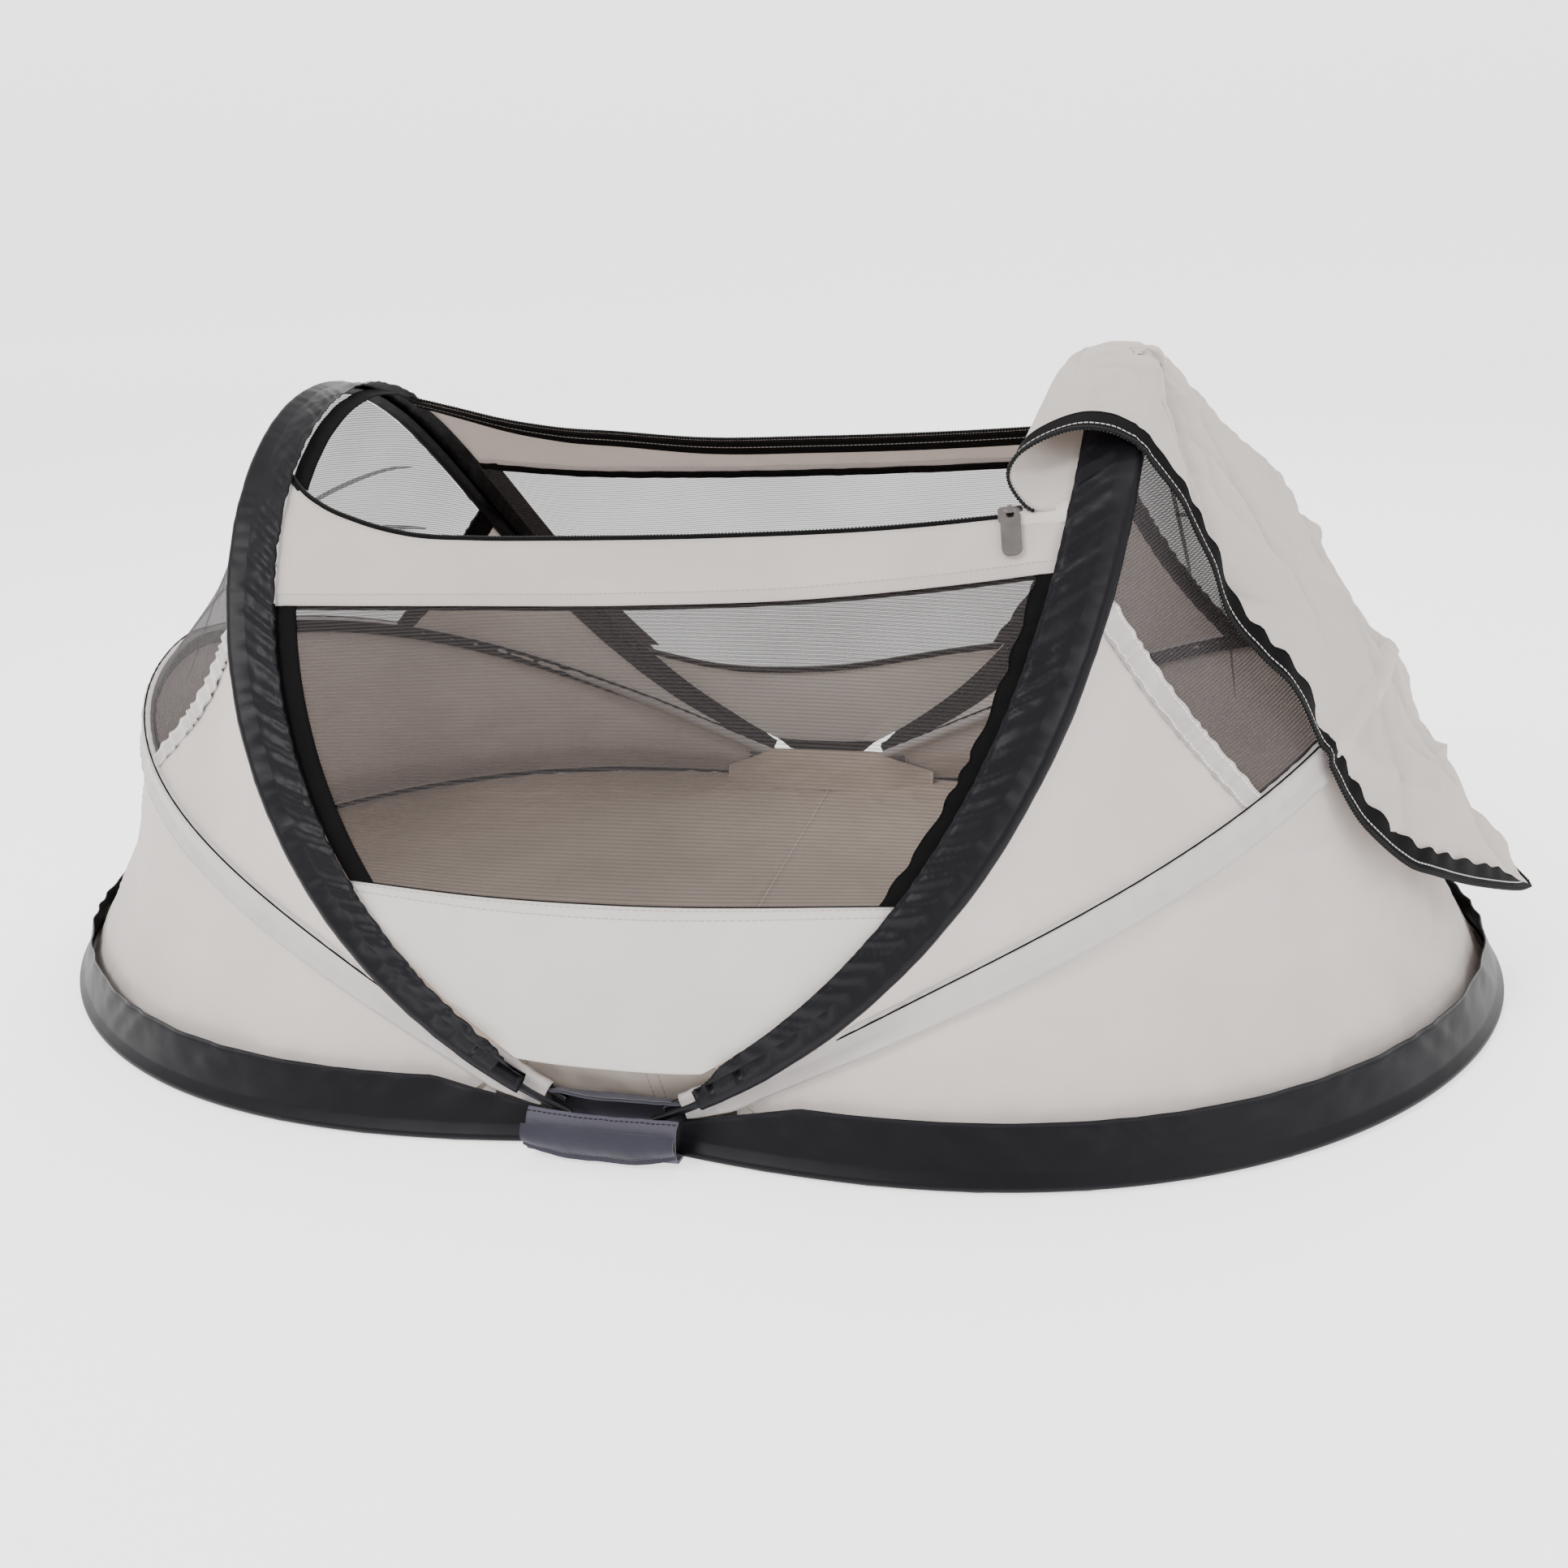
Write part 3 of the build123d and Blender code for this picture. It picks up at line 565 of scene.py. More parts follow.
SLEEVE = 36 * MM
RING_STEPS, MAIN_STEPS, WALL_TRIM, PIPING_TRIM = 260, 430, 8, 14
BASE_COLUMNS, LOWER_COLUMNS, MAIN_COLUMNS = 14, 8, 18
CUT_SLANT, CUT_REACH = 9, 24           # rows by which a main sleeve's ends are cut at a slant
for side_name, side in SIDES.items():
    hoop_body = (f"hoops_{side_name}",)
    pair = (f"base_{side_name}", f"hoops_{side_name}")[::-side]

    def from_base(share):
        """Weights for a share of the way from the base to the hoops."""
        return share if side < 0 else 1 - share

    # Base sleeve: leans in from the ground, round the base wire
    ring = hoop(RING, even(RING, 0.022, pi - 0.022, RING_STEPS), side)
    lower = hoop(LOWER, even(LOWER, 0.020, pi - 0.020, RING_STEPS), side)
    span = np.linalg.norm(lower - ring, axis=-1)
    profile = cased_profile(ring + (0, 0, 0.0016), unit(np.gradient(ring, axis=0)), lower - ring,
                            ring - CORE, 3.1 * MM, np.minimum(SLEEVE, span / 2) + 3 * MM, BASE_COLUMNS)
    run, near, _ = measured(profile)
    lift = clamp((near - 0.02) / 0.03) * (1.6 * MM * gathers(run, near, 0.043, side + 2, 0.9)
                                          + 0.5 * MM * waves(run, near, 0.03, 5))
    lift = lift * clamp((profile[..., 2] - 0.004) / 0.012)
    profile[..., 2] = np.maximum(profile[..., 2], 0.0012)
    share = clamp(np.linalg.norm(profile - ring[:, None], axis=-1) / span[:, None])
    cloth(f"base_sleeve_cloth_{side_name}", profile, navy_base, pair, from_base(share),
          (f"base_sleeve_{side_name}",), lift, NYLON, held="gathered")

    # End wall from the sleeve to the tape on the lower hoop, drawn in between the hoops
    wall = slice(WALL_TRIM, -WALL_TRIM)
    foot = ring[wall] + unit(lower - ring)[wall] * 6 * MM
    foot[:, :2] *= 0.993
    head = lower[wall]
    points, v = between(foot, head, 52), unit_steps(52)
    run, near, far = measured(points)
    sag = -0.055 * np.linalg.norm(head - foot, axis=-1)[:, None] * np.sin(pi * v)
    sag = sag + eased(near, far, 0.03) * (2.2 * MM * waves(run, near, 0.17, 11 + side)
                                          + 1.4 * MM * creases(run, near, 0.14, 21 + side))
    sag = sag + 0.8 * MM * gathers(run, near, 0.018, 4) * clamp(1 - np.abs(near - 0.04) / 0.03)
    share = 1 - (1 - v) * (1 - 0.006 / span[wall])[:, None]
    cloth(f"end_wall_cloth_{side_name}", points, cream, pair, from_base(share),
          (f"end_wall_{side_name}",), sag, SHEET, held="stretched")

    # Tape round the lower hoop
    ahead = unit(np.gradient(lower, axis=0))
    profile = cased_profile(lower, ahead, ring - lower, lower - CORE, 4.0 * MM,
                            np.minimum(20 * MM, span * 0.4), LOWER_COLUMNS)
    run, near, _ = measured(profile)
    lift = 0.9 * MM * gathers(run, near, 0.017, side + 5, 0.3) * clamp(near / 0.02)
    share = 1 - clamp(np.linalg.norm(profile - lower[:, None], axis=-1) / span[:, None])
    cloth(f"lower_tape_cloth_{side_name}", profile, lower_silver, pair, from_base(share),
          (f"lower_tape_{side_name}",), lift, SHEET, held="gathered")

    # Black piping outside the lower hoop, and a binding inside it
    upward = unit(hoop(MAIN, even(MAIN, 0.06, pi - 0.06, RING_STEPS), side) - lower)
    level = unit(np.cross(ahead, upward))
    level *= np.sign((level * (lower - CORE)).sum(-1, keepdims=True))
    piping = (lower + upward * 3.4 * MM + level * 3.9 * MM)[PIPING_TRIM:-PIPING_TRIM]
    tube(f"lower_seam_{side_name}", piping, 0.6 * MM, black_tape, hoop_body, sides=6)
    low_edge = lower + unit(ring - lower) * 8 * MM - level * 5.0 * MM
    high_edge = lower + upward * 5 * MM - level * 4.4 * MM
    points = between(low_edge, high_edge, 5)[wall]
    run, near, _ = measured(points)
    cloth(f"lower_binding_{side_name}", points, black_tape, hoop_body,
          lift=0.6 * MM * waves(run, near, 0.03, 17), thick=TAPE)

    # Main sleeve: gathered navy satin round the main wire, lying in the side panels
    turns = even(MAIN, 0.112, pi - 0.108, MAIN_STEPS)
    main = hoop(MAIN, turns, side)
    ahead = unit(np.gradient(main, axis=0))
    narrow = np.minimum(SLEEVE, np.abs(main[:, 0]) * 0.42)
    toward = np.array((-float(side), 0, 0)) * np.ones_like(main)
    profile = cased_profile(main, ahead, toward, main - CORE, 4.4 * MM,
                            narrow * np.sqrt(1 - ahead[:, 0] ** 2), MAIN_COLUMNS)
    rows = np.arange(len(profile))
    ease = clamp(1 - rows / CUT_REACH) - clamp(1 - rows[::-1] / CUT_REACH)
    for column, shift in enumerate(np.linspace(0, 1, MAIN_COLUMNS) * CUT_SLANT, start=-MAIN_COLUMNS):
        source = rows + shift * ease
        profile[:, column] = np.stack([np.interp(source, rows, profile[:, column, k]) for k in range(3)], -1)
    run, near, _ = measured(profile)
    grip = clamp((near - 0.016) / 0.035) ** 1.3
    calm = 0.35 + 0.65 * clamp(np.abs(turns - pi / 2 - 0.15) / 0.75)[:, None] ** 1.5
    lift = grip * calm * (1.9 * MM * gathers(run, near, 0.014, side + 1.5, 1.1)
                          + 1.5 * MM * gathers(run, near, 0.033, side + 4.5, 1.0)
                          + 0.8 * MM * waves(run, near, 0.022, 31 + side))
    lift += 1.3 * MM * clamp((near - 0.02) / 0.02)
    lift += 0.35 * MM * waves(run, near * 0.2, 0.05, 61 + side)
    across = clamp((profile[..., 0] / np.abs(main[:, :1]) + 1) / 2)
    cloth(f"main_sleeve_cloth_{side_name}", profile, navy, BOTH, across,
          (f"main_sleeve_{side_name}",), lift, NYLON, held="gathered")

# ---------------------------------------------------------------- upper end walls
SEAM_MAIN, SEAM_LOWER = {"right": 0.915, "left": 0.865}, 0.785
LOW_TRIM = 0.0035                      # cloth starts this far inside the lower hoop's wire
PLEAT_STEPS, PLEAT_HALF = 60, 3.2 * MM
PLEATS = ((0.10, 0.30, 0.52, 0.985), (0.16, 0.60, 0.36, 0.985), (0.30, 0.12, 0.80, 0.90),
          (0.55, 0.25, 0.90, 0.70))   # shares along and up the window, from start to stop
for side_name, side in SIDES.items():
    body = (f"hoops_{side_name}",)
    seam_main = SEAM_MAIN[side_name]

    def ruled(main_span, lower_span, rows, columns, high_trim=0.004, sag=0.05):
        """Cloth drawn between the lower and main hoops, over spans of turns."""
        a = hoop(LOWER, even(LOWER, *lower_span, rows), side)
        b = hoop(MAIN, even(MAIN, *main_span, rows), side)
        away = unit(b - a)
        a, b = a + away * LOW_TRIM, b - away * high_trim
        room = np.linalg.norm(b - a, axis=-1)[:, None]
        return between(a, b, columns), -sag * room * np.sin(pi * unit_steps(columns))

    for face_name, face in FACES.items():
        def turned(a, b):
            return (a, b) if face < 0 else (pi - a, pi - b)
        points, sag = ruled(turned(0.20, seam_main), turned(0.13, SEAM_LOWER), 110, 30)
        run, near, far = measured(points)
        ease = eased(near, far, 0.02)
        sag = sag + ease * (1.0 * MM * waves(run, near, 0.11, 41) + 0.6 * MM * creases(run, near, 0.10, 43))
        sag = sag + 0.9 * MM * gathers(near, run, 0.016, 3) * clamp(1 - (run[-1:] - run) / 0.02)
        cloth(f"gusset_cloth_{face_name}_{side_name}", points, cream, body,
              None, (f"end_gusset_{face_name}_{side_name}",), sag, SHEET, held="stretched")
        # Puckered silver tape over the seam between gusset and window
        points, sag = ruled(turned(seam_main - 0.018, seam_main + 0.032),
                            turned(SEAM_LOWER - 0.016, SEAM_LOWER + 0.028), 8, 130)
        edge = np.linspace(-1, 1, points.shape[0])[:, None]
        run, near, _ = measured(points)
        pucker = 2.0 * MM * gathers(near, run, 0.0125, 1.0) * (0.35 + 0.65 * np.abs(edge))
        swapped = points.transpose(1, 0, 2)
        cloth(f"seam_tape_{face_name}_{side_name}", swapped, silver, body, None,
              (f"end_seam_{face_name}_{side_name}",), (sag + pucker + 1.2 * MM).T, NYLON, held="stretched")
        cloth(f"seam_binding_{face_name}_{side_name}", swapped, black_tape, body,
              lift=(sag + 0.5 * pucker - 2.2 * MM).T, thick=SHEET)
    points, sag = ruled((seam_main + 0.01, pi - seam_main - 0.01),
                        (SEAM_LOWER + 0.01, pi - SEAM_LOWER - 0.01), 150, 50, 0.0055, 0.055)
    run, near, far = measured(points)
    ease = eased(near, far, 0.03)
    sag = sag + ease * 1.4 * MM * waves(run, near, 0.16, 71 + side, 2, (1.6, 0.5))
    cloth(f"end_mesh_{side_name}", points, mesh_end, body, None, (f"end_window_{side_name}",), sag,
          NET, held="stretched")
    # Pleats, where the netting lies double
    surface = points + normals(points) * sag[..., None]
    for number, (row_a, column_a, row_b, column_b) in enumerate(PLEATS):
        q = np.linspace(0, 1, PLEAT_STEPS)
        last_row, last_column = surface.shape[0] - 1, surface.shape[1] - 1
        rows_at = (row_a + (row_b - row_a) * q) * last_row
        columns_at = (column_a + (column_b - column_a) * q**0.9) * last_column
        i, j = rows_at.astype(int).clip(0, last_row - 1), columns_at.astype(int).clip(0, last_column - 1)
        fi, fj = (rows_at - i)[:, None], (columns_at - j)[:, None]
        path = ((surface[i, j] * (1 - fi) + surface[i + 1, j] * fi) * (1 - fj)
                + (surface[i, j + 1] * (1 - fi) + surface[i + 1, j + 1] * fi) * fj)
        across = unit(np.cross(np.gradient(path, axis=0), path - CORE))
        lap = (PLEAT_HALF * np.sin(pi * q) ** 0.5)[:, None, None] * np.linspace(-1, 1, 4)[None, :, None]
        cloth(f"end_pleat_{side_name}_{number}", path[:, None] + across[:, None] * lap, mesh_end,
              body, lift=np.full((PLEAT_STEPS, 4), -1.0 * MM), thick=NET)


# ---------------------------------------------------------------- long sides
def curve_t(table):
    """A smooth function of s from a few (s, t) points."""
    s, t = np.array(table).T

    def value(x):
        x = np.clip(x, s[0], s[-1])
        k = np.clip(np.searchsorted(s, x) - 1, 0, len(s) - 2)
        slope = np.gradient(t, s)
        h = s[k + 1] - s[k]
        q = (x - s[k]) / h
        return ((2 * q**3 - 3 * q**2 + 1) * t[k] + (q**3 - 2 * q**2 + q) * h * slope[k]
                + (-2 * q**3 + 3 * q**2) * t[k + 1] + (q**3 - q**2) * h * slope[k + 1])
    return value


RIM = {
    "front": curve_t([(-1.0, 1.24), (-0.94, 1.21), (-0.90, 1.177), (-0.86, 1.142), (-0.80, 1.108),
                      (-0.70, 1.074), (-0.56, 1.046), (-0.40, 1.038), (-0.20, 1.037), (0.19, 1.041),
                      (0.54, 1.054), (0.80, 1.076), (1.0, 1.096)]),
    "back": curve_t([(-1.0, 1.38), (-0.93, 1.352), (-0.83, 1.275), (-0.74, 1.216), (-0.59, 1.163),
                     (-0.41, 1.137), (-0.19, 1.108), (0.13, 1.103), (0.74, 1.12), (1.0, 1.14)]),
}
STRIP = {
    "front": curve_t([(-1.0, 0.918), (-0.43, 0.920), (0.0, 0.923), (0.39, 0.935), (0.73, 0.962),
                      (1.0, 0.992)]),
    "back": curve_t([(-1.0, 1.045), (-0.6, 1.00), (-0.24, 0.99), (0.1, 0.99), (0.69, 1.005), (1.0, 1.02)]),
}
HEM = {
    "front": curve_t([(-1.0, 0.495), (-0.39, 0.475), (0.04, 0.474), (1.0, 0.502)]),
    "back": curve_t([(-1.0, 0.50), (-0.6, 0.43), (0.0, 0.42), (0.89, 0.504), (1.0, 0.51)]),
}


def side_point(x_share, turn, face_name):
    """Point on a long side: x_share from -1 to 1 between the main hoops at that turn."""
    p = hoop(MAIN, turn)
    return np.stack([x_share * p[..., 0], p[..., 1] if face_name == "front" else -p[..., 1],
                     p[..., 2]], -1)


def inner_share(turn):
    """How far out the sleeves' inner edges lie, as a share of the main hoop's x."""
    x = hoop(MAIN, turn)[..., 0]
    return 1 - np.minimum(SLEEVE, x * 0.42) / x


def shifted(line, offset):
    """The turn function that runs offset above another."""
    return lambda share: line(share) + offset


def side_grid(face_name, low, high, rows, columns, tuck=0.015):
    """Grid between the sleeves, from the low turn function to the high one, and its shares of x."""
    s, v = np.linspace(-1, 1, rows)[:, None] * np.ones((rows, columns)), unit_steps(columns)
    share = s * 0.9
    for _ in range(3):
        share = s * (inner_share(low(share) + (high(share) - low(share)) * v) + tuck)
    return side_point(share, low(share) + (high(share) - low(share)) * v, face_name), share


FOOT = {"front": 0.176, "back": 0.098}             # turn at the panel's foot
FOOT_BINDING = {"front": (0, 0.016), "back": (0.02, 0.040)}   # how far above the foot, and how wide
for face_name, face in FACES.items():
    rim, strip, hem = RIM[face_name], STRIP[face_name], HEM[face_name]
    seed = 100 + 10 * face
    # Lower cream panel, with a rounded bottom edge

    def bottom(share, low=FOOT[face_name]):
        return low + 0.03 * np.abs(share) ** 3

    points, share = side_grid(face_name, bottom, hem, 190, 50)
    run, near, far = measured(points)
    ease = eased(near, far, 0.03)
    lift = ease * (1.8 * MM * waves(run, near, 0.19, seed, 2)
                   + 0.8 * MM * creases(run, near, 0.2, seed + 1, (0.6, 1)))
    lift -= 5 * MM * np.sin(pi * near / (near + far + 1e-9)) * (1 - share**2)
    cloth(f"side_panel_cloth_{face_name}", points, cream_panel, BOTH, (share + 1) / 2,
          (f"side_panel_{face_name}",), lift, SHEET, held="stretched")
    # Netting window
    points, share = side_grid(face_name, shifted(hem, -0.004), shifted(strip, 0.006), 190, 60)
    run, near, far = measured(points)
    ease = eased(near, far, 0.03)
    lift = ease * 1.1 * MM * waves(run, near, 0.22, seed + 2, 2, (0.5, 1)) - 0.8 * MM
    lift -= 3 * MM * np.sin(pi * near / (near + far + 1e-9)) * (1 - share**2)
    cloth(f"side_mesh_{face_name}", points, mesh if face < 0 else mesh_back, BOTH, (share + 1) / 2,
          (f"side_window_{face_name}",), lift, NET, held="stretched")
    # Black binding down both ends of the window
    for end_name, end in SIDES.items():
        turns = even(MAIN, float(hem(0.9 * end)) - 0.002, float(strip(0.9 * end)) + 0.004, 120)
        wide = (15 if end < 0 else 12) * MM
        x = hoop(MAIN, turns)[:, 0]
        edge = inner_share(turns)
        ruffle = 2.2 * MM * gathers(np.cumsum(np.ones(121)) * 0.0022, np.zeros(121), 0.03, 2.0) * (end > 0)
        v = np.linspace(0, 1, 7)[None, :]
        share = end * (edge[:, None] + 0.012 - ((wide - ruffle) / x)[:, None] * v - 0.012 * v)
        points = side_point(share, turns[:, None] * np.ones((1, 7)), face_name)
        run, near, _ = measured(points)
        lift = -0.2 * MM - 0.9 * MM * gathers(run, near, 0.02, end) * (end > 0)
        cloth(f"window_tape_{face_name}_{end_name}", points, black_tape, BOTH, (share + 1) / 2,
              (), lift * np.ones_like(near), 0.7)
    # Cream strip under the opening
    points, share = side_grid(face_name, strip, shifted(rim, -0.004), 190, 26, tuck=0.004)
    run, near, far = measured(points)
    ease = eased(near, far, 0.015)
    lift = 1.2 * MM + ease * (1.4 * MM * waves(run, near, 0.13, seed + 3, 2)
                              + 1.1 * MM * creases(run, near, 0.12, seed + 4))
    lift *= 1 - clamp((np.abs(share) - 0.86) / 0.03)
    cloth(f"side_strip_cloth_{face_name}", points, cream_strip, BOTH, (share + 1) / 2,
          (f"side_strip_{face_name}",), lift, SHEET, held="stretched")
    # Dark bindings on the inside: round the foot of the panel, along its hem and under the strip
    above, foot_wide = FOOT_BINDING[face_name]
    for title, line, wide, deeper in (("foot", shifted(bottom, above), foot_wide, 1.2),
                                      ("hem", shifted(hem, -0.012), 0.014, 1.2),
                                      ("strip", shifted(strip, -0.004), 0.020, 0)):
        points, share = side_grid(face_name, line, shifted(line, wide), 150, 5, tuck=0.0)
        run, near, _ = measured(points)
        lift = -2.6 * MM + 0.4 * MM * waves(run, near, 0.04, seed + 8) - deeper * MM
        cloth(f"{title}_binding_{face_name}", points, black_tape, BOTH, (share + 1) / 2,
              lift=lift, thick=TAPE)
    # Skirt behind the wrap
    u, v = np.meshgrid(np.linspace(-1, 1, 70), np.linspace(0, 1, 24), indexing="ij")
    x = 0.112 * u
    reach = np.abs(x) / HALF_LENGTH
    ring_y = HALF_SPAN * np.sqrt(1 - reach**RING.spread) * (1 + 4 * RING.waist * reach * (1 - reach))
    out = clamp((np.abs(x) - 0.056) / 0.06)
    y = face * (0.308 + (ring_y - 0.020 - 0.308) * out**2 * (3 - 2 * out) + 0.006 * v)
    points = np.stack([x, y, 0.003 + (0.056 if face < 0 else 0.043) * v * (1 - 0.72 * out)], -1)
    lift = 1.6 * MM * waves(points[..., 0], points[..., 2], 0.05, seed + 5) * np.sin(pi * clamp(v))
    cloth(f"skirt_cloth_{face_name}", points.transpose(1, 0, 2), skirt_cloth if face < 0 else floor_cloth,
          BOTH, ((u + 1) / 2).T, (f"skirt_{face_name}",), lift.T, SHEET, held="hung")

# ---------------------------------------------------------------- zips along the opening
TAPE_COLUMNS = 8
RIM_TAPE = {"front": (0.013, black_tape, 1.0), "back": (0.046, zip_tape_back, -2.2)}
SLIDER_X = 0.5 * (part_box("zip_slider")[0][0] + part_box("zip_slider")[1][0])
for face_name in FACES:
    rim = RIM[face_name]
    stop = float(SLIDER_X / hoop(MAIN, 1.08)[0]) if face_name == "front" else 0.80
    share = np.linspace(-0.905, stop, 300)
    wide, material, lift = RIM_TAPE[face_name]
    turn = rim(share)[:, None] + 0.003 - wide * unit_steps(TAPE_COLUMNS)
    points = side_point(share[:, None] * np.ones(TAPE_COLUMNS), turn, face_name)
    cloth(f"rim_tape_{face_name}", points, material, BOTH, (share[:, None] + 1) / 2,
          (f"rim_zip_{face_name}",), lift * MM * np.ones(turn.shape), NYLON)
    path, radius = beads(side_point(share, rim(share) + 0.004, face_name))
    tube(f"rim_teeth_{face_name}", path, radius, teeth_mat, BOTH, (path[:, 0] / 0.316 + 1) / 2,
         sides=7)

# Cream cover over the closed zip, between the slider and the right sleeve
COVER_COLUMNS = 9
share, v = np.linspace(SLIDER_X / 0.3195 + 0.012, 0.885, 40), unit_steps(COVER_COLUMNS)
turn = RIM["front"](share)[:, None] - 0.022 + 0.040 * v
points = side_point(share[:, None] * np.ones(COVER_COLUMNS), turn, "front")
run, near, _ = measured(points)
lift = 2.2 * MM * np.sin(pi * v) * np.ones_like(run) + 0.4 * MM * waves(run, near, 0.02, 6)
cloth("zip_cover", points, cream, BOTH, (share[:, None] + 1) / 2, lift=1.2 * MM + lift,
      thick=SHEET)

# Zip tape round the left end of the opening, on the inner edge of the left sleeve
turns = even(MAIN, float(RIM["front"](-0.9)) - 0.01, pi - float(RIM["back"](-0.95)) + 0.01, 160)
p = hoop(MAIN, turns)
v = np.linspace(0, 1, 8)[None, :]
edge = p[:, None, 0] - SLEEVE + 0.003 - 0.013 * v
points = np.stack([-edge, p[:, None, 1] * np.ones_like(v), p[:, None, 2] - 0.003 - 0.004 * v], -1)
run, near, _ = measured(points)
cloth("rim_tape_end", points, black_tape, BOTH, (points[..., 0] / p[:, None, 0] + 1) / 2,
      ("rim_zip_end",), 0.5 * MM * waves(run, near, 0.05, 9), 0.9)

# ---------------------------------------------------------------- roof flap with its curl
CREST = [(0.291, 0.452), (0.282, 0.446), (0.272, 0.446), (0.266, 0.452), (0.266, 0.460), (0.272, 0.467),
         (0.283, 0.471), (0.298, 0.474), (0.318, 0.474), (0.337, 0.466), (0.352, 0.449), (0.378, 0.416),
         (0.435, 0.342), (0.498, 0.259), (0.530, 0.203), (0.556, 0.160), (0.577, 0.126), (0.601, 0.091),
         (0.618, 0.070)]
ZIP_EDGE = [(0.284, -0.157, 0.389), (0.270, -0.162, 0.388), (0.258, -0.163, 0.391), (0.247, -0.157, 0.403),
            (0.245, -0.150, 0.412), (0.252, -0.145, 0.422), (0.268, -0.137, 0.430), (0.287, -0.130, 0.434),
            (0.306, -0.125, 0.431), (0.322, -0.128, 0.424), (0.336, -0.135, 0.408), (0.352, -0.142, 0.388),
            (0.362, -0.150, 0.369), (0.372, -0.156, 0.350), (0.384, -0.160, 0.318), (0.405, -0.165, 0.294),
            (0.426, -0.165, 0.272), (0.445, -0.160, 0.233), (0.465, -0.155, 0.193), (0.481, -0.150, 0.170),
            (0.508, -0.135, 0.142), (0.529, -0.118, 0.128), (0.561, -0.080, 0.105), (0.601, -0.030, 0.080),
            (0.618, 0.0, 0.070)]
CREST_MARK, EDGE_MARK = 8, 9          # where both lines leave the curl and cross the hoop
ROWS, CURL_ROWS = 230, 90
CLOSED_ROWS = 14                       # the part of the edge still zipped, beyond the slider


def two_part(line, mark):
    """A smooth line with its own spacing on the curl and on the fall."""
    curl, rest = smooth_line(line[:mark + 1], CURL_ROWS), smooth_line(line[mark:], ROWS - CURL_ROWS + 1)
    return np.vstack([curl, rest[1:]])


crest, edge = two_part(CREST, CREST_MARK), two_part(ZIP_EDGE, EDGE_MARK)
# The back half hangs a little higher than the front
BACK_FALL = 0.5 + 0.4 * clamp((np.arange(ROWS) - CURL_ROWS - 12) / 60)
HOOP_REST = 10.5 * MM                  # from a hoop's wire to the cloth that rests on it


def rested(points):
    """The same points, with the cloth past the curl kept clear of the right hoops and their sleeves."""
    x, y, z = points[..., 0], points[..., 1], points[..., 2]
    past = (np.arange(ROWS) > CURL_ROWS - 40)[:, None]
    for shape in (MAIN, LOWER):
        base = hoop(shape, np.arccos(clamp(np.abs(y) / HALF_SPAN) ** (shape.roundness / 2)))
        dx, dz = x - base[..., 0], z - base[..., 2]
        reach = np.hypot(dx, dz)
        near_hoop = past & (reach < HOOP_REST) & (dx + dz > -0.006)
        grow = np.where(near_hoop, HOOP_REST / np.maximum(reach, 1e-4), 1)
        x, z = base[..., 0] + dx * grow, base[..., 2] + dz * grow
        if shape is MAIN:
            over = past & (dx < 0) & (dx > -0.046)
            z = np.where(over, np.maximum(z, base[..., 2] + HOOP_REST), z)
    return np.stack([x, y, z], -1)


def flap_grid(share):
    """Points of the flap at shares from -1, its front zip edge, to 1, its back one."""
    mid, side_edge = crest[:, None], edge[:, None]
    fall = np.where(share > 0, BACK_FALL[:, None], 1.0) * share**2
    x = mid[..., 0] + (side_edge[..., 0] - mid[..., 0]) * fall
    z = mid[..., 1] + (side_edge[..., 2] - mid[..., 1]) * fall
    y = -side_edge[..., 1] * share
    return rested(np.stack([x, y, z], -1))


w = np.linspace(-1, 1, 110)[None, :] * np.ones((ROWS, 1))
points = flap_grid(w)
n = unit(np.cross(np.gradient(points, axis=1), np.gradient(points, axis=0)))
run = along(points)
near = (w + 1) * np.abs(edge[:, None, 1])
far = (1 - w) * np.abs(edge[:, None, 1])
ease = clamp(np.minimum(near, far) / 0.02) * clamp((run - 0.03) / 0.08)
fold = 4.0 * MM * waves(run, near, 0.22, 3, 2, (0.8, 1.2)) + folds(run, near, 26, 8, 0.15, 12.0 * MM)
fold += folds(run, near, 60, 15, 0.08, 6.5 * MM) + folds(run, near, 80, 19, 0.045, 3.0 * MM)
fold *= ease
flap_weight = clamp((run - run[CURL_ROWS - 6]) / (run[CURL_ROWS + 14] - run[CURL_ROWS - 6]))
flap_weight = flap_weight**2 * (3 - 2 * flap_weight)
flap_points = rested(points + n * fold[..., None])
cloth("roof_cloth", flap_points, flap_cloth, FLAP_PAIR, flap_weight,
      ("roof_flap", "flap_root"), None, TAPE, inside=None, held="draped")


FLAP_TAPE, FLAP_TAPE_LIFT = 0.017, 1.2 * MM


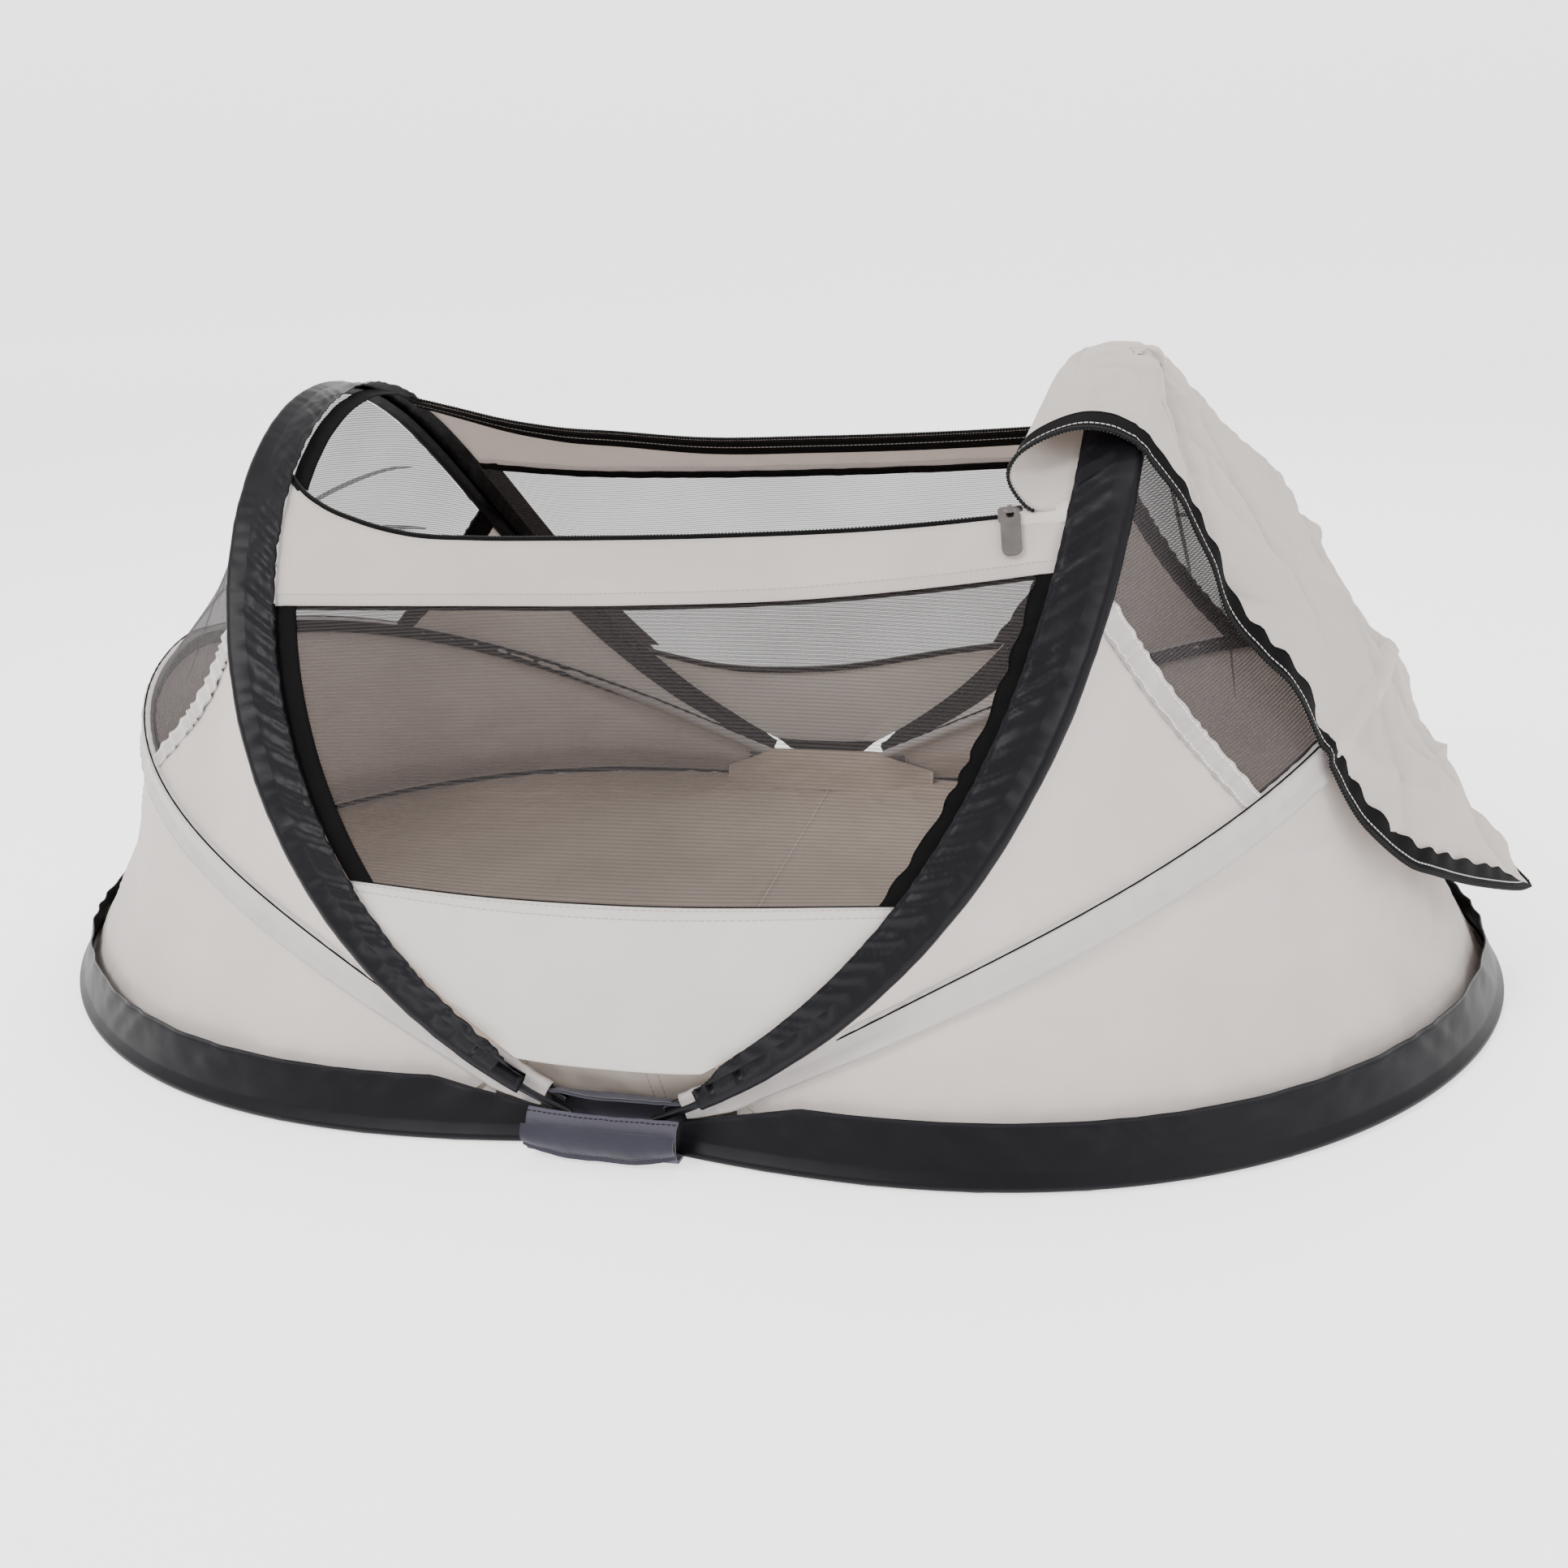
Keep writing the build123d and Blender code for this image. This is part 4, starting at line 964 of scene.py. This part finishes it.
def edge_strip(sign):
    """The tape sewn along one zip edge of the flap, its inner side ruffled, and its normals."""
    v = unit_steps(TAPE_COLUMNS)
    half = np.maximum(np.abs(edge[:, 1]), 1e-4)
    run_edge = np.r_[0, np.cumsum(np.linalg.norm(np.diff(edge, axis=0), axis=1))]
    free = clamp((run_edge - 0.16) / 0.06)
    ruffle = np.sin(2 * pi * run_edge / 0.027 + np.sin(run_edge * 60))
    scallop = 1 + 0.10 * clamp(half / 0.09) * ruffle * free
    fall = 2 * (BACK_FALL if sign > 0 else 1)
    speed = np.sqrt(half**2 + (fall * (edge[:, 0] - crest[:, 0])) ** 2
                    + (fall * (edge[:, 2] - crest[:, 1])) ** 2)
    grid = flap_grid(sign * (1 - (FLAP_TAPE * scallop * np.minimum(1, half / 0.05) / speed)[:, None] * v))
    sheet = flap_grid(sign * np.linspace(1, 0.9, TAPE_COLUMNS)[None, :] * np.ones((ROWS, 1)))
    n = -sign * unit(np.cross(np.gradient(sheet, axis=1), np.gradient(grid, axis=0)))
    ripple = 0.7 * MM * clamp(half / 0.09)[:, None] * ruffle[:, None] * v * free[:, None]
    grid = grid - n * (FLAP_TAPE_LIFT + ripple)[..., None]
    return grid[CLOSED_ROWS:], n[CLOSED_ROWS:]


weight = flap_weight[CLOSED_ROWS:, :1]
for end_name, sign in FACES.items():
    grid, n = edge_strip(sign)
    cloth(f"flap_tape_{end_name}", grid, zip_tape, FLAP_PAIR, weight, thick=SHEET, inside=None)
    path, radius = beads(grid[:, 0] - n[:, 0] * 0.2 * MM)
    on_tape = np.interp(np.linspace(0, 1, len(path)), np.linspace(0, 1, len(weight)), weight[:, 0])
    tube(f"flap_teeth_{end_name}", path, radius, teeth_mat, FLAP_PAIR, on_tape, sides=7)

# ---------------------------------------------------------------- floor
for side_name, side in SIDES.items():
    turns = even(RING, 0.03, pi - 0.03, 150)
    ring = hoop(RING, turns, side)
    v = np.linspace(0, 1, 80)[None, :]
    seam_x = 3 * MM + (0.6 * MM if side > 0 else 0)
    edge_x = side * np.abs(ring[:, None, 0]) * (1 - 4 * MM / HALF_LENGTH)
    x = seam_x + (edge_x - seam_x) * v
    seam_y = -0.955 * HALF_SPAN * np.cos(turns)[:, None]
    y = seam_y + (ring[:, None, 1] * (1 - 5 * MM / HALF_SPAN) - seam_y) * v
    points = np.stack([x, y, np.full_like(x, 0.0012)], -1)
    rumple = 2.2 * MM * (waves(x, y, 0.16, 51, 3, (1, 0.8)) + 0.8) + 2.5 * MM * creases(x, y, 0.11, 52)
    rumple *= clamp(np.abs(x - seam_x) / 0.02) * clamp((1 - v) * 20)
    below = np.array((0, 0, -1.0))
    rumple = np.maximum(rumple, 0) * np.sign(normals(points, below)[..., 2])
    cloth(f"floor_cloth_{side_name}", points, floor_cloth, (f"base_{side_name}",), None,
          (f"floor_{side_name}",), rumple, 0.8, inside=below, held="laid")

# ---------------------------------------------------------------- hinge wraps
for face_name, face in FACES.items():
    low, high = (np.array(c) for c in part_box(f"hinge_wrap_{face_name}"))
    outer_y, inner_y = (low[1], high[1]) if face < 0 else (high[1], low[1])
    # A gutter of padded cloth round the hoop ends, with an open lip along its top
    u = np.linspace(0, 1, 80)[:, None]
    outline = smooth_line([(0.22, 0.97), (0.08, 0.84), (0.0, 0.50), (0.03, 0.16), (0.25, 0.05), (0.72, 0.05),
                           (0.97, 0.18), (1.0, 0.52), (0.90, 0.84), (0.66, 0.97)], 70)
    inside_share, height_share = outline[None, :, 0], outline[None, :, 1]
    x = low[0] + (high[0] - low[0]) * u * np.ones_like(inside_share)
    droop = 1 - clamp(height_share) ** 3 * (0.11 * np.sin(pi * u) ** 2 + 0.05 * u + 0.03 * np.sin(9 * u))
    y = outer_y + (inner_y - outer_y) * inside_share
    z = 0.001 + high[2] * height_share * droop
    points = np.stack([x, y + 0 * x, z], -1)
    run, near, _ = measured(points)
    lift = 1.0 * MM * waves(run, near, 0.05, 81 + face) * clamp(z / 0.012)
    points[..., 2] = np.maximum(points[..., 2], 0.0014)
    center = np.array((0, (outer_y + inner_y) / 2, 0.018))
    cloth(f"hinge_wrap_cloth_{face_name}", points, wrap_mat, ("base_left",), None,
          (f"hinge_wrap_{face_name}",), lift, 2.0, inside=center, held="folded")
    # Fold-over cover down the outside, its lower edge curved and stitched
    v = np.linspace(0, 1, 26)[None, :]
    top, foot = 0.027, 0.003 + 0.008 * np.abs(2 * u - 1) ** 3
    x = low[0] - 0.001 + (high[0] - low[0] + 0.002) * u * np.ones_like(v)
    z = top + (foot - top) * v
    y = outer_y + face * (0.0025 + 0.004 * np.sin(pi * clamp(v * 1.2)) - 0.0005 * v)
    points = np.stack([x, y * np.ones_like(x), z], -1)
    run, near, _ = measured(points)
    lift = 0.7 * MM * waves(run, near, 0.04, 91 + face)
    cloth(f"wrap_cover_cloth_{face_name}", points, cover_mat, ("base_left",), None,
          (f"wrap_cover_{face_name}",), lift, 1.8, inside=center, held="folded")

# Tails of the hoops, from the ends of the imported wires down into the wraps
for side_name, side in SIDES.items():
    for face_name, face in FACES.items():
        for title, shape, first, last in (("main", MAIN, 0.045, 0.15), ("lower", LOWER, 0.012, 0.05)):
            turns = even(shape, first, last, 24)
            path = hoop(shape, turns if face < 0 else pi - turns, side)
            tube(f"{title}_tail_{face_name}_{side_name}", path, 2.5 * MM, steel,
                 (f"hoops_{side_name}",), sides=10)

# ---------------------------------------------------------------- CAD parts that stay
for name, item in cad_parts.items():
    finish = zinc if name.startswith("zip_") else steel if "wire" in name else None
    if finish:
        target = item if hasattr(item, "data") else bpy.data.objects.get(name)
        target.data.materials.clear()
        target.data.materials.append(finish)
